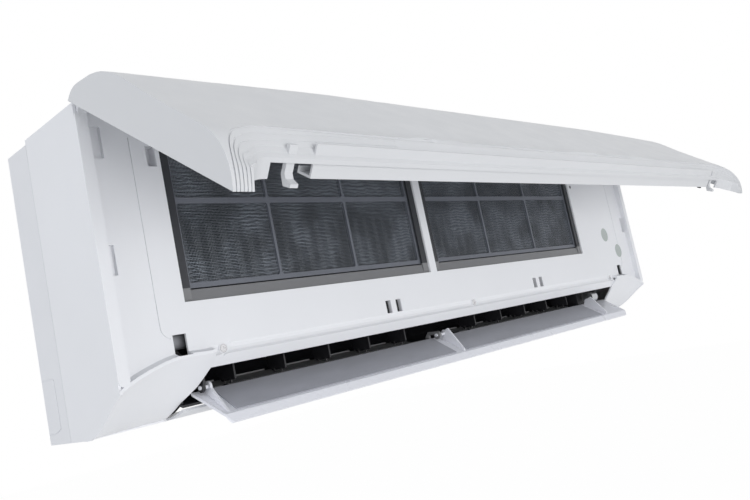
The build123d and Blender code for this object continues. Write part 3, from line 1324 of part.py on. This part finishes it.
with BuildPart() as button_switch:
    with BuildSketch(facing(FACE_Y + 13)):
        with Locations(BUTTON_PLACE):
            Rectangle(8, 8)
    extrude(amount=13 - 5.5 - BUTTON_TRAVEL - CLEAR)
button_switch.part.label = "button_switch"
export_step(button_switch.part, "parts/button_switch.step")

with BuildPart() as coil_sensor:
    with BuildSketch(across(COIL_RIGHT + 3)):
        with Locations((-116, 150)):
            Circle(2.5)
    extrude(amount=24)
coil_sensor.part.label = "coil_sensor"
export_step(coil_sensor.part, "parts/coil_sensor.step")

SPIGOT_R = 8.0
SPIGOT_LONG = 22.0

with BuildPart() as drain_spigot:
    with BuildSketch(across(DUCT_LEFT - SPIGOT_LONG)):
        with Locations((-121, 72)):
            Circle(SPIGOT_R)
            Circle(SPIGOT_R - 1.5, mode=Mode.SUBTRACT)
    extrude(amount=SPIGOT_LONG)
drain_spigot.part.label = "drain_spigot"
export_step(drain_spigot.part, "parts/drain_spigot.step")

with BuildPart() as frame_screws:
    for screw_x in SCREW_X:
        with BuildSketch(facing(SCREW_SEAT_Y + 11.5)):
            with Locations((screw_x, SCREW_H)):
                Circle(SCREW_R)
        extrude(amount=11.4)
        with BuildSketch(facing(SCREW_SEAT_Y - 0.1)):
            with Locations((screw_x, SCREW_H)):
                Circle(SCREW_HEAD_R)
        extrude(amount=1.9)
        with BuildSketch(facing(SCREW_SEAT_Y - 1.2)):
            with Locations((screw_x, SCREW_H)):
                Rectangle(4.6, 1.0)
                Rectangle(1.0, 4.6)
        extrude(amount=1, mode=Mode.SUBTRACT)
frame_screws.part.label = "frame_screws"
export_step(frame_screws.part, "parts/frame_screws.step")
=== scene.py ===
import json
import math

import bpy
from mathutils import Matrix, Vector


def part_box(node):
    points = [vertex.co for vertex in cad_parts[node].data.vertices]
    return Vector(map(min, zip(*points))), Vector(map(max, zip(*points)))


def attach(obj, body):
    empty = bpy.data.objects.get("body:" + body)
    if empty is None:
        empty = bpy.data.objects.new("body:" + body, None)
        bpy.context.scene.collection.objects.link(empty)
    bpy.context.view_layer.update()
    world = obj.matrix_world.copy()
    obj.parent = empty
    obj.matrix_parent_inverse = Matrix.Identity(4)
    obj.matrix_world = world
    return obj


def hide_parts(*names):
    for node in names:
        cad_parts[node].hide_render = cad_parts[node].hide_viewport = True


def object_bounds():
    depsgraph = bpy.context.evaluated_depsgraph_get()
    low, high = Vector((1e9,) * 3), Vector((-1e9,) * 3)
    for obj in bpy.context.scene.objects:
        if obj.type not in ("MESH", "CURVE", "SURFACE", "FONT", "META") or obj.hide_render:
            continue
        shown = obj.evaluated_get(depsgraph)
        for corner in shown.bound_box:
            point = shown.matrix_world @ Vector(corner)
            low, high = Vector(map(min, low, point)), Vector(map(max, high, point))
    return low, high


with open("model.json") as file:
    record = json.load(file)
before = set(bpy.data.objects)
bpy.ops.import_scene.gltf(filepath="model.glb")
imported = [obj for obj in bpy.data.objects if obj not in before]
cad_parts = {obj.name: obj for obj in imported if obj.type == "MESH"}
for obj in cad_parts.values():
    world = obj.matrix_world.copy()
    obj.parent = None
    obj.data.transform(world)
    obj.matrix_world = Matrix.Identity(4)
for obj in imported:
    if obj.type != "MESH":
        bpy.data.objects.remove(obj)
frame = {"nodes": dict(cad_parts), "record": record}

CAD_BOX = [list(corner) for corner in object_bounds()]
MM = 0.001

# ---- camera, solved from the straight edges of the unit ----------------------------
CAMERA_PLACE = Vector((-0.8302, -0.7405, -0.106))
CAMERA_YAW = math.radians(47.63)
CAMERA_PITCH = math.radians(6.49)
CAMERA_ROLL = math.radians(-11.66)
FRAME_WIDE = 750
FOCAL_PIXELS = 747.8
SENSOR_MM = 36.0
CLIP_NEAR = 0.02
CLIP_FAR = 60


# ---- nodes of a material -----------------------------------------------------------
class Material:
    """A node material that is built up by short calls, in the object's own metres."""

    def __init__(self, name, colour, rough, metal=0.0, **sockets):
        self.material = bpy.data.materials.new(name)
        self.material.use_nodes = True
        self.tree = self.material.node_tree
        self.shader = self.tree.nodes["Principled BSDF"]
        self.colour = colour
        self.rough = rough
        self.shader.inputs["Base Color"].default_value = (*colour, 1)
        self.shader.inputs["Roughness"].default_value = rough
        self.shader.inputs["Metallic"].default_value = metal
        for socket, value in sockets.items():
            self.shader.inputs[socket.replace("_", " ")].default_value = value
        self.place = self.node("ShaderNodeTexCoord").outputs["Object"]

    def node(self, kind, **values):
        """A new node; values are its properties, or its inputs by name."""
        made = self.tree.nodes.new(kind)
        for name, value in values.items():
            if name in made.inputs:
                made.inputs[name].default_value = value
            else:
                setattr(made, name, value)
        return made

    def link(self, source, target):
        self.tree.links.new(source, target)

    def stretched(self, scale):
        """Object coordinates times a scale of their own along each axis."""
        mapping = self.node("ShaderNodeMapping")
        mapping.inputs["Scale"].default_value = scale
        self.link(self.place, mapping.inputs["Vector"])
        return mapping.outputs["Vector"]

    def noise(self, per_metre, detail=3.0, stretch=(1, 1, 1)):
        """Noise between about 0.25 and 0.75, with so many cells in a metre."""
        noise = self.node("ShaderNodeTexNoise", Scale=per_metre, Detail=detail)
        self.link(self.stretched(stretch), noise.inputs["Vector"])
        return noise.outputs["Fac"]

    def wave(self, scale, along, distortion):
        """Bands across one axis, bent by a distortion."""
        wave = self.node("ShaderNodeTexWave", bands_direction=along, Scale=scale,
                         Distortion=distortion)
        self.link(self.place, wave.inputs["Vector"])
        return wave.outputs["Fac"]

    def spread(self, value, low, high, start=0.3, end=0.7):
        """A value from start to end, moved to low to high."""
        moved = self.node("ShaderNodeMapRange")
        self.link(value, moved.inputs["Value"])
        for socket, number in (("From Min", start), ("From Max", end),
                               ("To Min", low), ("To Max", high)):
            moved.inputs[socket].default_value = number
        return moved.outputs["Result"]

    def product(self, first, second):
        made = self.node("ShaderNodeMath", operation="MULTIPLY")
        self.link(first, made.inputs[0])
        self.link(second, made.inputs[1])
        return made.outputs[0]

    def tint(self, value, low, high):
        """The base colour runs from one colour to another with a value from 0 to 1."""
        mix = self.node("ShaderNodeMix", data_type="RGBA")
        self.link(value, mix.inputs["Factor"])
        mix.inputs[6].default_value = (*low, 1)
        mix.inputs[7].default_value = (*high, 1)
        self.link(mix.outputs[2], self.shader.inputs["Base Color"])
        return self

    def mottle(self, per_metre, amount, stretch=(1, 1, 1)):
        """The base colour varies by a small share of itself."""
        low = tuple(channel * (1 - amount) for channel in self.colour)
        high = tuple(min(channel * (1 + amount), 1.0) for channel in self.colour)
        return self.tint(self.spread(self.noise(per_metre, 4.0, stretch), 0, 1), low, high)

    def sheen_patches(self, per_metre, amount, stretch=(1, 1, 1)):
        """The roughness varies by a small amount."""
        value = self.spread(self.noise(per_metre, 5.0, stretch), self.rough - amount, self.rough + amount)
        self.link(value, self.shader.inputs["Roughness"])
        return self

    def bump(self, height, depth, strength):
        """Relief of a depth in metres, on top of any relief that is there."""
        bump = self.node("ShaderNodeBump", Strength=strength, Distance=depth)
        self.link(height, bump.inputs["Height"])
        normal = self.shader.inputs["Normal"]
        if normal.is_linked:
            self.link(normal.links[0].from_socket, bump.inputs["Normal"])
        self.link(bump.outputs["Normal"], normal)
        return self


# ---- finishes ----------------------------------------------------------------------
# In the finishes a noise's number is its cells per metre, and a relief is in metres.
def moulded(name, colour, rough, grain=900, relief=0.00002, tone=0.012):
    """Injection-moulded plastic: a fine skin grain, slow waves of sinkage, faint tone shifts."""
    made = Material(name, colour, rough)
    made.mottle(9, tone).sheen_patches(40, 0.05)
    made.bump(made.noise(grain, 2.0), relief, 0.35)
    made.bump(made.noise(14, 1.0), relief * 12, 0.15)
    return made.material


def pressed_steel(name, colour, rough, spangle=120):
    """Galvanised sheet with its crystal pattern."""
    made = Material(name, colour, rough, metal=1.0)
    cells = made.node("ShaderNodeTexVoronoi", Scale=spangle)
    made.link(made.place, cells.inputs["Vector"])
    tone = made.spread(cells.outputs["Color"], 0, 1, 0.0, 1.0)
    made.tint(tone, tuple(c * 0.85 for c in colour), tuple(min(c * 1.1, 1) for c in colour))
    made.sheen_patches(spangle / 2, 0.1)
    return made.material


def drawn_metal(name, colour, rough, along):
    """Drawn or ground metal with fine lines along one axis."""
    made = Material(name, colour, rough, metal=1.0)
    stretch = tuple(0.04 if axis == along else 1.0 for axis in "XYZ")
    made.mottle(1400, 0.12, stretch).sheen_patches(900, 0.08, stretch)
    made.bump(made.noise(2200, 2.0, stretch), 0.00001, 0.4)
    return made.material


def rubber(name, colour):
    made = Material(name, colour, 0.75)
    made.mottle(300, 0.2).sheen_patches(120, 0.08)
    made.bump(made.noise(1500, 3.0), 0.00003, 0.5)
    return made.material


def circuit_board(name, colour):
    """Solder resist over copper tracks."""
    made = Material(name, colour, 0.35)
    cells = made.node("ShaderNodeTexBrick", Scale=110.0)
    cells.inputs["Mortar Size"].default_value = 0.06
    made.link(made.place, cells.inputs["Vector"])
    made.tint(made.spread(cells.outputs["Fac"], 0, 1, 0, 1), colour,
              tuple(min(c * 2.0, 1) for c in colour))
    made.sheen_patches(200, 0.08)
    return made.material


def flock(name, colour):
    """Short-fibred lining on the inner face of the flap."""
    made = Material(name, colour, 0.62, Sheen_Weight=0.25, Sheen_Roughness=0.5)
    made.mottle(60, 0.06, (0.3, 1, 1)).sheen_patches(90, 0.06)
    made.bump(made.noise(2600, 3.0), 0.00004, 0.4)
    return made.material


# scale and bend of the bands, and their darkest and lightest share of the net's colour
BAND_SCALE = 78.0
BAND_BEND = 7.0
BAND_DARK = 0.72
BAND_LIGHT = 2.1


def net_thread(name, colour):
    """Dark net whose threads catch the light in curling bands."""
    made = Material(name, colour, 0.45)
    bands = made.wave(BAND_SCALE, "Z", BAND_BEND)
    cloud = made.spread(made.noise(22, 2.0), 0, 1, 0.42, 0.62)
    dark = tuple(channel * BAND_DARK for channel in colour)
    light = tuple(channel * BAND_LIGHT for channel in colour)
    made.tint(made.product(bands, cloud), dark, light).sheen_patches(60, 0.08)
    return made.material


# height at which the grey ledge ends and the painted shade up the sides begins, in metres, and how far its
# edge blends
LEDGE_TOP = -0.0262
LEDGE_BLEND = 0.0004


def guide_with_painted_shade(name, ledge, shade_band):
    """Grey ledge below the filters; above it, near-black painted shade up their sides, where the openings
    lie in shadow.
    """
    made = Material(name, ledge, 0.45)
    parts = made.node("ShaderNodeSeparateXYZ")
    made.link(made.place, parts.inputs["Vector"])
    above = made.spread(parts.outputs["Z"], 0, 1, LEDGE_TOP - LEDGE_BLEND, LEDGE_TOP)
    # above the ledge the colour turns near black: painted shade for the shadowed sides of the openings
    made.tint(above, ledge, shade_band)
    made.sheen_patches(40, 0.05)
    made.bump(made.noise(700, 2.0), 0.00003, 0.35)
    return made.material


FINISHES = {
    "casing_white": moulded("casing_white", (0.80, 0.81, 0.84), 0.36),
    "chassis_white": moulded("chassis_white", (0.76, 0.77, 0.80), 0.42),
    # the panel's white is set darker than the casing's: painted shade for its face, which turns up and
    # away from the lamps
    "panel_white": moulded("panel_white", (0.66, 0.67, 0.69), 0.36),
    "flap_white": moulded("flap_white", (0.76, 0.77, 0.82), 0.30),
    "flap_lining": flock("flap_lining", (0.36, 0.37, 0.42)),
    "duct_black": moulded("duct_black", (0.016, 0.016, 0.02), 0.45, grain=700, relief=0.00004, tone=0.15),
    # the guide's near-black bands are painted shade inside the filter openings; its grey ledge is the
    # guide's own colour
    "duct_grey": guide_with_painted_shade("duct_grey", (0.205, 0.207, 0.215), (0.03, 0.032, 0.038)),
    "vane_black": moulded("vane_black", (0.02, 0.02, 0.024), 0.40, grain=700, relief=0.00003, tone=0.15),
    "grille_white": moulded("grille_white", (0.76, 0.77, 0.80), 0.42),
    "filter_grey": moulded("filter_grey", (0.13, 0.14, 0.165), 0.48, grain=800, relief=0.00003, tone=0.08),
    "filter_mesh": net_thread("filter_mesh", (0.11, 0.122, 0.142)),
    "fin_aluminium": drawn_metal("fin_aluminium", (0.55, 0.58, 0.62), 0.38, "X"),
    "plate_steel": pressed_steel("plate_steel", (0.62, 0.63, 0.65), 0.42),
    "copper": drawn_metal("copper", (0.78, 0.42, 0.26), 0.28, "X"),
    "brass": drawn_metal("brass", (0.80, 0.62, 0.28), 0.26, "X"),
    "fan_black": moulded("fan_black", (0.02, 0.021, 0.025), 0.40, grain=700, relief=0.00003, tone=0.12),
    "shaft_steel": drawn_metal("shaft_steel", (0.66, 0.66, 0.68), 0.22, "X"),
    "rubber": rubber("rubber", (0.025, 0.025, 0.028)),
    "holder_grey": moulded("holder_grey", (0.36, 0.37, 0.40), 0.45),
    "motor_steel": pressed_steel("motor_steel", (0.50, 0.51, 0.53), 0.35, spangle=300),
    "cover_steel": pressed_steel("cover_steel", (0.60, 0.61, 0.63), 0.40),
    "board_green": circuit_board("board_green", (0.02, 0.10, 0.045)),
    "terminal_cream": moulded("terminal_cream", (0.62, 0.59, 0.48), 0.45),
    "lens_smoke": moulded("lens_smoke", (0.42, 0.46, 0.45), 0.40),
    "button_dark": moulded("button_dark", (0.03, 0.03, 0.035), 0.40),
}

SLOT_OF = {part["node"]: part["material_slot"] for part in frame["record"]["subparts"]}
BODY_OF = {
    node: body
    for body, members in frame["record"]["behaviour"]["bodies"].items()
    for node in members
}


def finish_node(node):
    """Gives a CAD node the finish of its slot."""
    thing = frame["nodes"][node]
    thing.data.materials.clear()
    thing.data.materials.append(FINISHES[SLOT_OF[node]])


for node in frame["nodes"]:
    finish_node(node)


# ---- pieces that take the place of CAD nodes ----------------------------------------
def add_piece(name, points, faces, node):
    """A mesh piece that takes the place, body and finish of a CAD node."""
    mesh = bpy.data.meshes.new(name)
    mesh.from_pydata(points, [], faces)
    mesh.validate()
    mesh.materials.append(FINISHES[SLOT_OF[node]])
    piece = bpy.data.objects.new(name, mesh)
    bpy.context.scene.collection.objects.link(piece)
    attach(piece, BODY_OF[node])
    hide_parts(node)
    return piece


def end_profile(node):
    """Corners of a prism-shaped node's section, in order round it, as (y, z)."""
    corners = {(round(v.co.y, 5), round(v.co.z, 5)) for v in frame["nodes"][node].data.vertices}
    mid_y = sum(y for y, z in corners) / len(corners)
    mid_z = sum(z for y, z in corners) / len(corners)
    return sorted(corners, key=lambda corner: math.atan2(corner[1] - mid_z, corner[0] - mid_y))


# distance from fin to fin, and thickness of a fin
FIN_PITCH = 1.8 * MM
FIN_THICK = 0.25 * MM


def add_fins(node):
    """A fin pack: thin plates side by side along the coil."""
    low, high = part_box(node)
    profile = end_profile(node)
    count = len(profile)
    points = []
    faces = []
    fins = int((high.x - low.x - FIN_THICK) / FIN_PITCH) + 1
    for index in range(fins):
        left = low.x + index * FIN_PITCH
        start = len(points)
        for x in (left, left + FIN_THICK):
            points += [(x, y, z) for y, z in profile]
        faces.append([start + corner for corner in reversed(range(count))])
        faces.append([start + count + corner for corner in range(count)])
        for corner in range(count):
            after = (corner + 1) % count
            faces.append([start + corner, start + after, start + count + after, start + count + corner])
    add_piece(f"{node}_fins", points, faces, node)


for coil in ("evaporator_front", "evaporator_upper", "evaporator_rear"):
    add_fins(coil)


# distance from thread to thread, and half a thread's width
THREAD_PITCH = 1.6 * MM
THREAD_HALF = 0.22 * MM
# thickness of the net's plain sheet, and its bend from front to top
MESH_SHEET = 0.8 * MM
MESH_BEND = 16.0 * MM
BEND_STEPS = 6
# depth of a thread along the unit, as a share of its width
CROSS_THREAD = 0.9


def thread(points, faces, route, side, lift):
    """A square thread along a route; side and lift give its half width and half depth at each point."""
    start = len(points)
    for place, across_it, out_of_it in zip(route, side, lift):
        for across_sign, out_sign in ((-1, -1), (1, -1), (1, 1), (-1, 1)):
            points.append(place + across_sign * across_it + out_sign * out_of_it)
    rings = len(route)
    faces.append([start + 3, start + 2, start + 1, start])
    for ring in range(rings - 1):
        base = start + 4 * ring
        for edge in range(4):
            after = (edge + 1) % 4
            faces.append([base + edge, base + after, base + 4 + after, base + 4 + edge])
    last = start + 4 * (rings - 1)
    faces.append([last, last + 1, last + 2, last + 3])


def mesh_section(node):
    """The filter's middle line across the unit, from its foot up the front and back along the top."""
    low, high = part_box(node)
    front = low.y + MESH_SHEET / 2
    top = high.z - MESH_SHEET / 2
    line = [(Vector((0, front, low.z)), Vector((0, -1, 0)))]
    for step in range(BEND_STEPS + 1):
        turn = math.pi / 2 * step / BEND_STEPS
        out = Vector((0, -math.cos(turn), math.sin(turn)))
        centre = Vector((0, front + MESH_BEND, top - MESH_BEND))
        line.append((centre + out * MESH_BEND, out))
    line.append((Vector((0, high.y, top)), Vector((0, 0, 1))))
    return line


def along_section(line, distance):
    """Point and outward direction at a distance along the section."""
    for (first, out_first), (second, out_second) in zip(line, line[1:]):
        length = (second - first).length
        if distance <= length:
            share = distance / length
            return first.lerp(second, share), out_first.lerp(out_second, share).normalized()
        distance -= length
    return line[-1]


def add_weave(node):
    """The filter's net: threads both ways, set in the filter's frame."""
    low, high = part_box(node)
    line = mesh_section(node)
    total = sum((second[0] - first[0]).length for first, second in zip(line, line[1:]))
    points = []
    faces = []
    sideways = Vector((1, 0, 0))
    for index in range(int((high.x - low.x) / THREAD_PITCH)):
        x = low.x + (index + 0.5) * THREAD_PITCH
        route = [place + sideways * x for place, out in line]
        thread(points, faces, route, [sideways * THREAD_HALF] * len(route),
               [out * THREAD_HALF for place, out in line])
    for index in range(int(total / THREAD_PITCH)):
        place, out = along_section(line, (index + 0.5) * THREAD_PITCH)
        ends = [place + sideways * low.x, place + sideways * high.x]
        upright = sideways.cross(out)
        thread(points, faces, ends, [upright * THREAD_HALF] * 2, [out * THREAD_HALF * CROSS_THREAD] * 2)
    add_piece(node.replace("mesh", "net"), points, faces, node)


for filter_net in ("filter_mesh_left", "filter_mesh_right"):
    add_weave(filter_net)


# ---- front panel: squarer ends, a flatter face, steps down to the edge of the cut ----
# edges that turn by more than this stay sharp
SHARP_FROM = math.radians(28)
# the raised panel's rim, and the ways down it and out of it
PANEL_RIM = Vector((0, -0.1514, 0.1445))
PANEL_DOWN = Vector((0, -0.8241, -0.5664))
PANEL_OUT = Vector((0, -0.5664, 0.8241))
# half the panel's length, and its depth from the rim out
PANEL_HALF = 0.530
PANEL_RISE = 0.050
# rounding of the plain panel's ends and of the finished one's, and how much of that is applied
END_ROUND_CAD = 0.022
END_ROUND = 0.012
END_SHARE = 0.06
# from here towards the ends the depth falls off, by this share of itself for each metre
BOW_FROM = 0.30
BOW_SLOPE = 0.46
# the cut between the legs: half its width, its start down the panel, its corner rounding
CUT_HALF = 0.506
CUT_START = 0.215
CUT_ROUND = 0.028
# the band of steps round the cut, and the share of the depth that it loses at the edge
JOIN = 0.001
STEP_BAND = 0.0208
STEP_DROP = 0.9
# how far out of the rim the steps end, above the lip and on the legs
LIP_EDGE = 0.015
LEG_EDGE = 0.002
# from here outwards the legs get narrower, by this at their inner edges
LEG_FROM = CUT_HALF - 0.003
LEG_NARROW = 0.006
# distance down the panel, and the finished depth there as a share of the plain one;
# a share above 1 only makes up for the fall towards the ends
FLATTER = [
    (0.0, 1.05), (0.0025, 1.08), (0.0094, 1.06), (0.0197, 1.05), (0.03, 1.05), (0.042, 1.03),
    (0.06, 1.0), (0.075, 0.965), (0.1, 0.87), (0.12, 0.818), (0.15, 0.811), (0.18, 0.858),
    (0.208, 0.96), (0.215, 0.98), (0.245, 1.0),
]


def end_fullness(from_end, radius, share=1.0):
    """Share of the panel's depth near its end, for a rounding of a radius, or a share of one."""
    inward = max(radius - max(from_end, 0.0), 0.0)
    return 1 - share * (radius - math.sqrt(radius ** 2 - inward ** 2)) / PANEL_RISE


def outside_cut(x, down):
    """Distance from the edge of the cut-out between the panel's legs."""
    beside = abs(x) - (CUT_HALF - CUT_ROUND)
    above = CUT_START + CUT_ROUND - down
    corner = math.hypot(max(beside, 0.0), max(above, 0.0))
    return corner + min(max(beside, above), 0.0) - CUT_ROUND


def flatter(down):
    """Share of the plain panel's depth that the finished one has at a distance down it."""
    for (before, first), (after, second) in zip(FLATTER, FLATTER[1:]):
        if before <= down <= after:
            return first + (second - first) * (down - before) / (after - before)
    return 1.0


def shaped_panel_point(place):
    """Where a point of the plain panel lies on the finished one."""
    from_rim = place - PANEL_RIM
    x = place.x
    down = from_rim.dot(PANEL_DOWN)
    out = from_rim.dot(PANEL_OUT)
    from_end = PANEL_HALF - abs(x)
    if out > 0:
        out *= end_fullness(from_end, END_ROUND, END_SHARE) / end_fullness(from_end, END_ROUND_CAD)
        out *= min(flatter(down) * (1 - BOW_SLOPE * max(abs(x) - BOW_FROM, 0.0)), 1.0)
    low = LIP_EDGE if down < CUT_START + CUT_ROUND else LEG_EDGE
    away = outside_cut(x, down)
    if -JOIN < away < STEP_BAND and out > low:
        near_edge = 1 - max(away, 0.0) / STEP_BAND
        out = low + (out - low) * (1 - STEP_DROP * near_edge)
    leg = min(max((down - CUT_START + CUT_ROUND) / (2 * CUT_ROUND), 0.0), 1.0)
    if LEG_FROM < abs(x):
        beyond = (PANEL_HALF - abs(x)) / (PANEL_HALF - CUT_HALF)
        x += math.copysign(LEG_NARROW * min(beyond, 1.0) * leg, x)
    return Vector((x, PANEL_RIM.y, PANEL_RIM.z)) + PANEL_DOWN * down + PANEL_OUT * out


def add_shaped_panel(node):
    """The front panel with squarer ends, a flatter face and a stepped edge, from the CAD node's points."""
    source = frame["nodes"][node].data
    points = [shaped_panel_point(vertex.co) for vertex in source.vertices]
    faces = [tuple(face.vertices) for face in source.polygons]
    piece = add_piece("front_panel_shell", points, faces, node)
    piece.data.polygons.foreach_set("use_smooth", [True] * len(piece.data.polygons))
    piece.data.set_sharp_from_angle(angle=SHARP_FROM)


add_shaped_panel("front_panel")


# ---- front frame: trays behind the pockets and slots in its face --------------------
# where the back of the face lies, and how thick a tray's walls are
FACE_BACK = -0.1396
TRAY_WALL = 0.0008
# height of the origin above the unit's underside, in mm
MIDDLE_HIGH = 145.0
# place along the unit, height above the underside, width, height and depth of each tray, in mm
TRAYS = [
    (505.5, 256.8, 11.0, 29.5, 2.2), (509.8, 149.5, 9.5, 27.0, 2.2),
    (-505.5, 256.8, 11.0, 29.5, 2.2), (-509.8, 149.5, 9.5, 27.0, 2.2),
    (-453.0, 246.0, 10.0, 20.0, 9.0), (453.0, 246.0, 10.0, 20.0, 9.0),
    (-170.0, 70.5, 9.0, 15.0, 3.5), (-152.0, 70.5, 9.0, 15.0, 3.5),
    (164.0, 70.5, 9.0, 15.0, 3.5), (182.0, 70.5, 9.0, 15.0, 3.5),
]


def add_block(points, faces, low, high):
    """A box between two corners."""
    start = len(points)
    for x in (low[0], high[0]):
        for y in (low[1], high[1]):
            for z in (low[2], high[2]):
                points.append(Vector((x, y, z)))
    for corners in ((0, 1, 3, 2), (4, 6, 7, 5), (0, 4, 5, 1), (2, 3, 7, 6), (0, 2, 6, 4), (1, 5, 7, 3)):
        faces.append([start + corner for corner in corners])


def add_tray(points, faces, tray):
    """Four walls and a floor behind an opening in the face."""
    x, height, wide, high, deep = (size * MM for size in tray)
    left, right = x - wide / 2, x + wide / 2
    low, top = height - MIDDLE_HIGH * MM - high / 2, height - MIDDLE_HIGH * MM + high / 2
    back = FACE_BACK + deep
    wall = TRAY_WALL
    add_block(points, faces, (left - wall, FACE_BACK, low - wall), (left, back, top + wall))
    add_block(points, faces, (right, FACE_BACK, low - wall), (right + wall, back, top + wall))
    add_block(points, faces, (left, FACE_BACK, low - wall), (right, back, low))
    add_block(points, faces, (left, FACE_BACK, top), (right, back, top + wall))
    add_block(points, faces, (left - wall, back, low - wall), (right + wall, back + wall, top + wall))


def add_lined_frame(node):
    """The front frame with a tray behind each pocket and slot."""
    source = frame["nodes"][node].data
    points = [vertex.co.copy() for vertex in source.vertices]
    faces = [list(face.vertices) for face in source.polygons]
    smooth = [face.use_smooth for face in source.polygons]
    for tray in TRAYS:
        add_tray(points, faces, tray)
    piece = add_piece("front_frame_lined", points, faces, node)
    smooth += [False] * (len(piece.data.polygons) - len(smooth))
    piece.data.polygons.foreach_set("use_smooth", smooth[:len(piece.data.polygons)])
    piece.data.set_sharp_from_angle(angle=SHARP_FROM)


add_lined_frame("front_frame")


# ---- floor, backdrop, lamps ---------------------------------------------------------
FLOOR_BELOW = 1.4
FLOOR_HALF = 14.0
FLOOR_WHITE = 0.985
FLOOR_GREY = 0.86
FLOOR_ROUGH = 0.8


def white_for_camera(tree, lit, share):
    """A shader that is plain white to the camera and to mirrors and glass, but keeps shadows."""
    path = tree.nodes.new("ShaderNodeLightPath")
    seen = tree.nodes.new("ShaderNodeMath")
    seen.operation = "MAXIMUM"
    tree.links.new(path.outputs["Is Camera Ray"], seen.inputs[0])
    tree.links.new(path.outputs["Is Glossy Ray"], seen.inputs[1])
    also = tree.nodes.new("ShaderNodeMath")
    also.operation = "MAXIMUM"
    tree.links.new(seen.outputs[0], also.inputs[0])
    tree.links.new(path.outputs["Is Transmission Ray"], also.inputs[1])
    part = tree.nodes.new("ShaderNodeMath")
    part.operation = "MULTIPLY"
    part.inputs[1].default_value = share
    tree.links.new(also.outputs[0], part.inputs[0])
    plain = tree.nodes.new("ShaderNodeEmission")
    plain.inputs["Color"].default_value = (1, 1, 1, 1)
    mix = tree.nodes.new("ShaderNodeMixShader")
    tree.links.new(part.outputs[0], mix.inputs[0])
    tree.links.new(lit, mix.inputs[1])
    tree.links.new(plain.outputs[0], mix.inputs[2])
    return mix.outputs[0]


def add_floor():
    height = CAD_BOX[0][2] - FLOOR_BELOW
    corners = [(-FLOOR_HALF, -FLOOR_HALF, height), (FLOOR_HALF, -FLOOR_HALF, height),
               (FLOOR_HALF, FLOOR_HALF, height), (-FLOOR_HALF, FLOOR_HALF, height)]
    mesh = bpy.data.meshes.new("floor")
    mesh.from_pydata(corners, [], [(0, 1, 2, 3)])
    floor = bpy.data.objects.new("floor", mesh)
    bpy.context.scene.collection.objects.link(floor)
    material = bpy.data.materials.new("floor")
    material.use_nodes = True
    tree = material.node_tree
    shader = tree.nodes["Principled BSDF"]
    shader.inputs["Base Color"].default_value = (FLOOR_GREY, FLOOR_GREY, FLOOR_GREY, 1)
    shader.inputs["Roughness"].default_value = FLOOR_ROUGH
    output = tree.nodes["Material Output"]
    tree.links.new(white_for_camera(tree, shader.outputs[0], FLOOR_WHITE), output.inputs["Surface"])
    mesh.materials.append(material)


def set_world(strength):
    world = bpy.data.worlds.new("studio")
    bpy.context.scene.world = world
    world.use_nodes = True
    tree = world.node_tree
    sky = tree.nodes["Background"]
    sky.inputs["Color"].default_value = (0.93, 0.96, 1.0, 1)
    sky.inputs["Strength"].default_value = strength
    output = tree.nodes["World Output"]
    tree.links.new(white_for_camera(tree, sky.outputs[0], 1.0), output.inputs["Surface"])


def add_lamp(name, place, aim, wide, high, power, colour):
    data = bpy.data.lights.new(name, "AREA")
    data.shape = "RECTANGLE"
    data.size = wide
    data.size_y = high
    data.energy = power
    data.color = colour
    lamp = bpy.data.objects.new(name, data)
    bpy.context.scene.collection.objects.link(lamp)
    lamp.location = place
    lamp.rotation_euler = (Vector(aim) - Vector(place)).to_track_quat("-Z", "Y").to_euler()


MIDDLE = (0, -0.1, 0)
LEFT_END = (-0.3, -0.1, 0)
# name, place, what it points at, width, height, power in watts, colour
LAMPS = [
    ("key", (-0.6, -2.9, -0.5), MIDDLE, 2.4, 1.4, 40, (1.0, 0.99, 0.98)),
    ("side", (-3.0, -0.4, 0.2), LEFT_END, 1.6, 1.6, 20, (0.97, 0.98, 1.0)),
    ("top", (0.3, -1.0, 2.6), MIDDLE, 2.5, 1.8, 3, (0.98, 0.99, 1.0)),
]
SKY_STRENGTH = 0.5

add_floor()
set_world(SKY_STRENGTH)
for lamp_values in LAMPS:
    add_lamp(*lamp_values)


def add_camera():
    data = bpy.data.cameras.new("camera")
    data.sensor_width = SENSOR_MM
    data.lens = SENSOR_MM * FOCAL_PIXELS / FRAME_WIDE
    data.clip_start = CLIP_NEAR
    data.clip_end = CLIP_FAR
    camera = bpy.data.objects.new("camera", data)
    bpy.context.scene.collection.objects.link(camera)
    flat = math.cos(CAMERA_PITCH)
    ahead = Vector((math.sin(CAMERA_YAW) * flat, math.cos(CAMERA_YAW) * flat, math.sin(CAMERA_PITCH)))
    right = Vector((math.cos(CAMERA_YAW), -math.sin(CAMERA_YAW), 0))
    up = right.cross(ahead)
    rolled_right = right * math.cos(CAMERA_ROLL) + up * math.sin(CAMERA_ROLL)
    rolled_up = up * math.cos(CAMERA_ROLL) - right * math.sin(CAMERA_ROLL)
    turn = Matrix((rolled_right, rolled_up, -ahead)).transposed().to_4x4()
    camera.matrix_world = Matrix.Translation(CAMERA_PLACE) @ turn
    bpy.context.scene.camera = camera


add_camera()
bpy.context.scene.view_settings.view_transform = "Standard"
